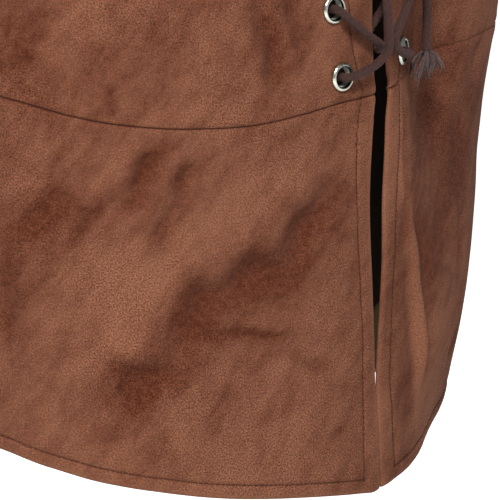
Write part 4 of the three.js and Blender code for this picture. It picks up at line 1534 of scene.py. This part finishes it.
def eyelets():
    ring = turned_ring("eyelet_ring", EYELET_PROFILE, EYELET_SIDES)
    # the bore's points, and the lip's points painted dark as shade
    for label, marked in (("bore", BORE_POINTS), ("tarnish", SHADED_LIP_POINTS)):
        marks = [float(j in marked) for j in range(len(EYELET_PROFILE))]
        store(ring.data, label, np.tile(marks, EYELET_SIDES))
    seats = right_seats + left_seats
    mesh = bpy.data.meshes.new("eyelet_seats")
    mesh.from_pydata([tuple(cloth_point(*seat) * MM) for seat in seats], [], [])
    store(mesh, "out", np.array([cloth_normal(*map(np.array, seat)) for seat in seats]))
    done = grown(linked("eyelet_seats", mesh), EYELET_TREE, "nickel_eyelets", Ring=ring, Finish=nickel)
    bpy.data.objects.remove(ring)
    return done


nickel_eyelets = eyelets()


# Frayed ends


def frayed_end(name, route, locks, length, wide, deep, seed):
    """The cord's own strands in loose locks below its end, bent out at once and hanging at their tips."""
    rng = np.random.default_rng(seed)
    end = np.array(route[-1], float)
    share = np.linspace(0, 1, STRAND_POINTS)[:, None]
    lines, girths = [], []
    for lock in range(locks):
        turn = 2.4 * lock + rng.uniform(-0.2, 0.2)
        ring = math.sqrt((lock + 0.5) / locks)
        out = np.array([math.cos(turn), math.sin(turn), 0.0])
        spread = np.array([wide * out[0], deep * out[1], 0.0]) * ring * rng.uniform(0.85, 1.15)
        fall = length * rng.uniform(0.62, 0.95)
        sway = rng.uniform(-2.2, 2.2) * out[[1, 0, 2]]
        opened = 0.45 * np.sin(share * math.pi / 2) + 0.55 * share
        middle = end + out * ring * 1.7 + spread * opened + sway * np.sin(share * math.pi * 1.3)
        middle = middle + np.array([0, 0, 0.8]) - np.array([0, 0, 1.0]) * fall * share**1.25
        for strand in range(LOCK_STRANDS):
            around = 2 * math.pi * strand / LOCK_STRANDS + 5 * share[:, 0] * rng.uniform(0.4, 1)
            swell = np.sin(np.clip(share[:, 0] * 1.7, 0, 1) * math.pi / 2)
            girth = (0.15 + 0.5 * swell) * rng.uniform(0.5, 1.3)
            girth = girth + rng.uniform(0, 1.6) * share[:, 0] ** 3
            beside = np.stack([np.cos(around) * girth, np.sin(around) * girth, np.zeros(STRAND_POINTS)], 1)
            keep = rng.integers(9, STRAND_POINTS + 1)
            lines.append((middle + beside)[:keep])
            girths.append(((1.25 - 0.8 * share[:, 0] ** 1.5) * rng.uniform(0.7, 1.15))[:keep])
    base = line_object("strand_lines", lines, girths=girths)
    return grown(base, STRAND_TREE, name, Radius=FRAY_RADIUS, Finish=fray)


tassels = {}
for node, route, locks, length, wide, deep, seed in FRAYED_ENDS:
    tassels[node] = frayed_end("frayed_" + node, route, locks, length, wide, deep, seed)


# What each piece rides on and stands for
for node, piece in panels.items():
    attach(piece, "root")
    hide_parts(node)
for piece in sewing.values():
    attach(piece, "root")
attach(nickel_eyelets, "root")
eyelet_nodes = [f"eyelet_{word}_{pair + 1}" for word in ("right", "left") for pair in range(PAIRS)]
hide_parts(*eyelet_nodes)
lace_pieces = {"lacing": lacing[0], "bow_knot": knot, **tassels}
lace_pieces.update({node: made[0] for node, made in cords.items()})
for node, piece in lace_pieces.items():
    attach(piece, "root")
    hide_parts(node)

# node, far end, how it lies, pieces on it
CORD_ENDS = [
    ("lace_end_right", "knot", "loose", [knot]),
    ("lace_end_left", "knot", "loose", []),
    ("bow_loop_right", "object", "hanging", []),
    ("bow_loop_left", "object", "hanging", []),
    ("lace_tail_right", "bare", "hanging", [tassels["tassel_right"]]),
    ("lace_tail_left", "bare", "hanging", [tassels["tassel_left"]]),
]
for node, far_end, lay, on_it in CORD_ENDS:
    piece, path, length = cords[node]


# Camera
azimuth, elevation = math.radians(CAMERA_AZIMUTH), math.radians(CAMERA_ELEVATION)
backwards = Vector((
    math.sin(azimuth) * math.cos(elevation), -math.cos(azimuth) * math.cos(elevation), math.sin(elevation)
))
camera_data = bpy.data.cameras.new("camera")
camera_data.lens = CAMERA_LENS
camera_data.sensor_width = CAMERA_SENSOR
camera_data.clip_end = CAMERA_REACH
camera = linked("camera", camera_data)
camera.location = Vector(CAMERA_TARGET) + backwards * CAMERA_DISTANCE
camera.rotation_euler = backwards.to_track_quat("Z", "Y").to_euler()
bpy.context.scene.camera = camera


# Floor and lights


def area_light(name, place, size, power):
    data = bpy.data.lights.new(name, "AREA")
    data.shape = "DISK"
    data.size = size
    data.energy = power
    light = linked(name, data)
    light.location = place
    aim = Vector(place) - Vector(LIGHT_AIM)
    light.rotation_euler = aim.to_track_quat("Z", "Y").to_euler()


half = FLOOR_SIZE / 2
corners = [(x, y, FLOOR_LEVEL) for x, y in ((-half, -half), (half, -half), (half, half), (-half, half))]
floor = mesh_object("floor", corners, [(0, 1, 2, 3)], [floor_finish()], False)
for light_row in LIGHTS:
    area_light(*light_row)

world = bpy.data.worlds.new("studio")
bpy.context.scene.world = world
world.use_nodes = True
seen = add_node(world.node_tree, "ShaderNodeLightPath").outputs["Is Camera Ray"]
strength = math_node(world.node_tree, "MULTIPLY_ADD", seen, 1 - WORLD_LIGHT, WORLD_LIGHT)
background = world.node_tree.nodes["Background"]
background.inputs["Color"].default_value = (1, 1, 1, 1)
world.node_tree.links.new(strength, background.inputs["Strength"])
bpy.context.scene.view_settings.view_transform = "Standard"
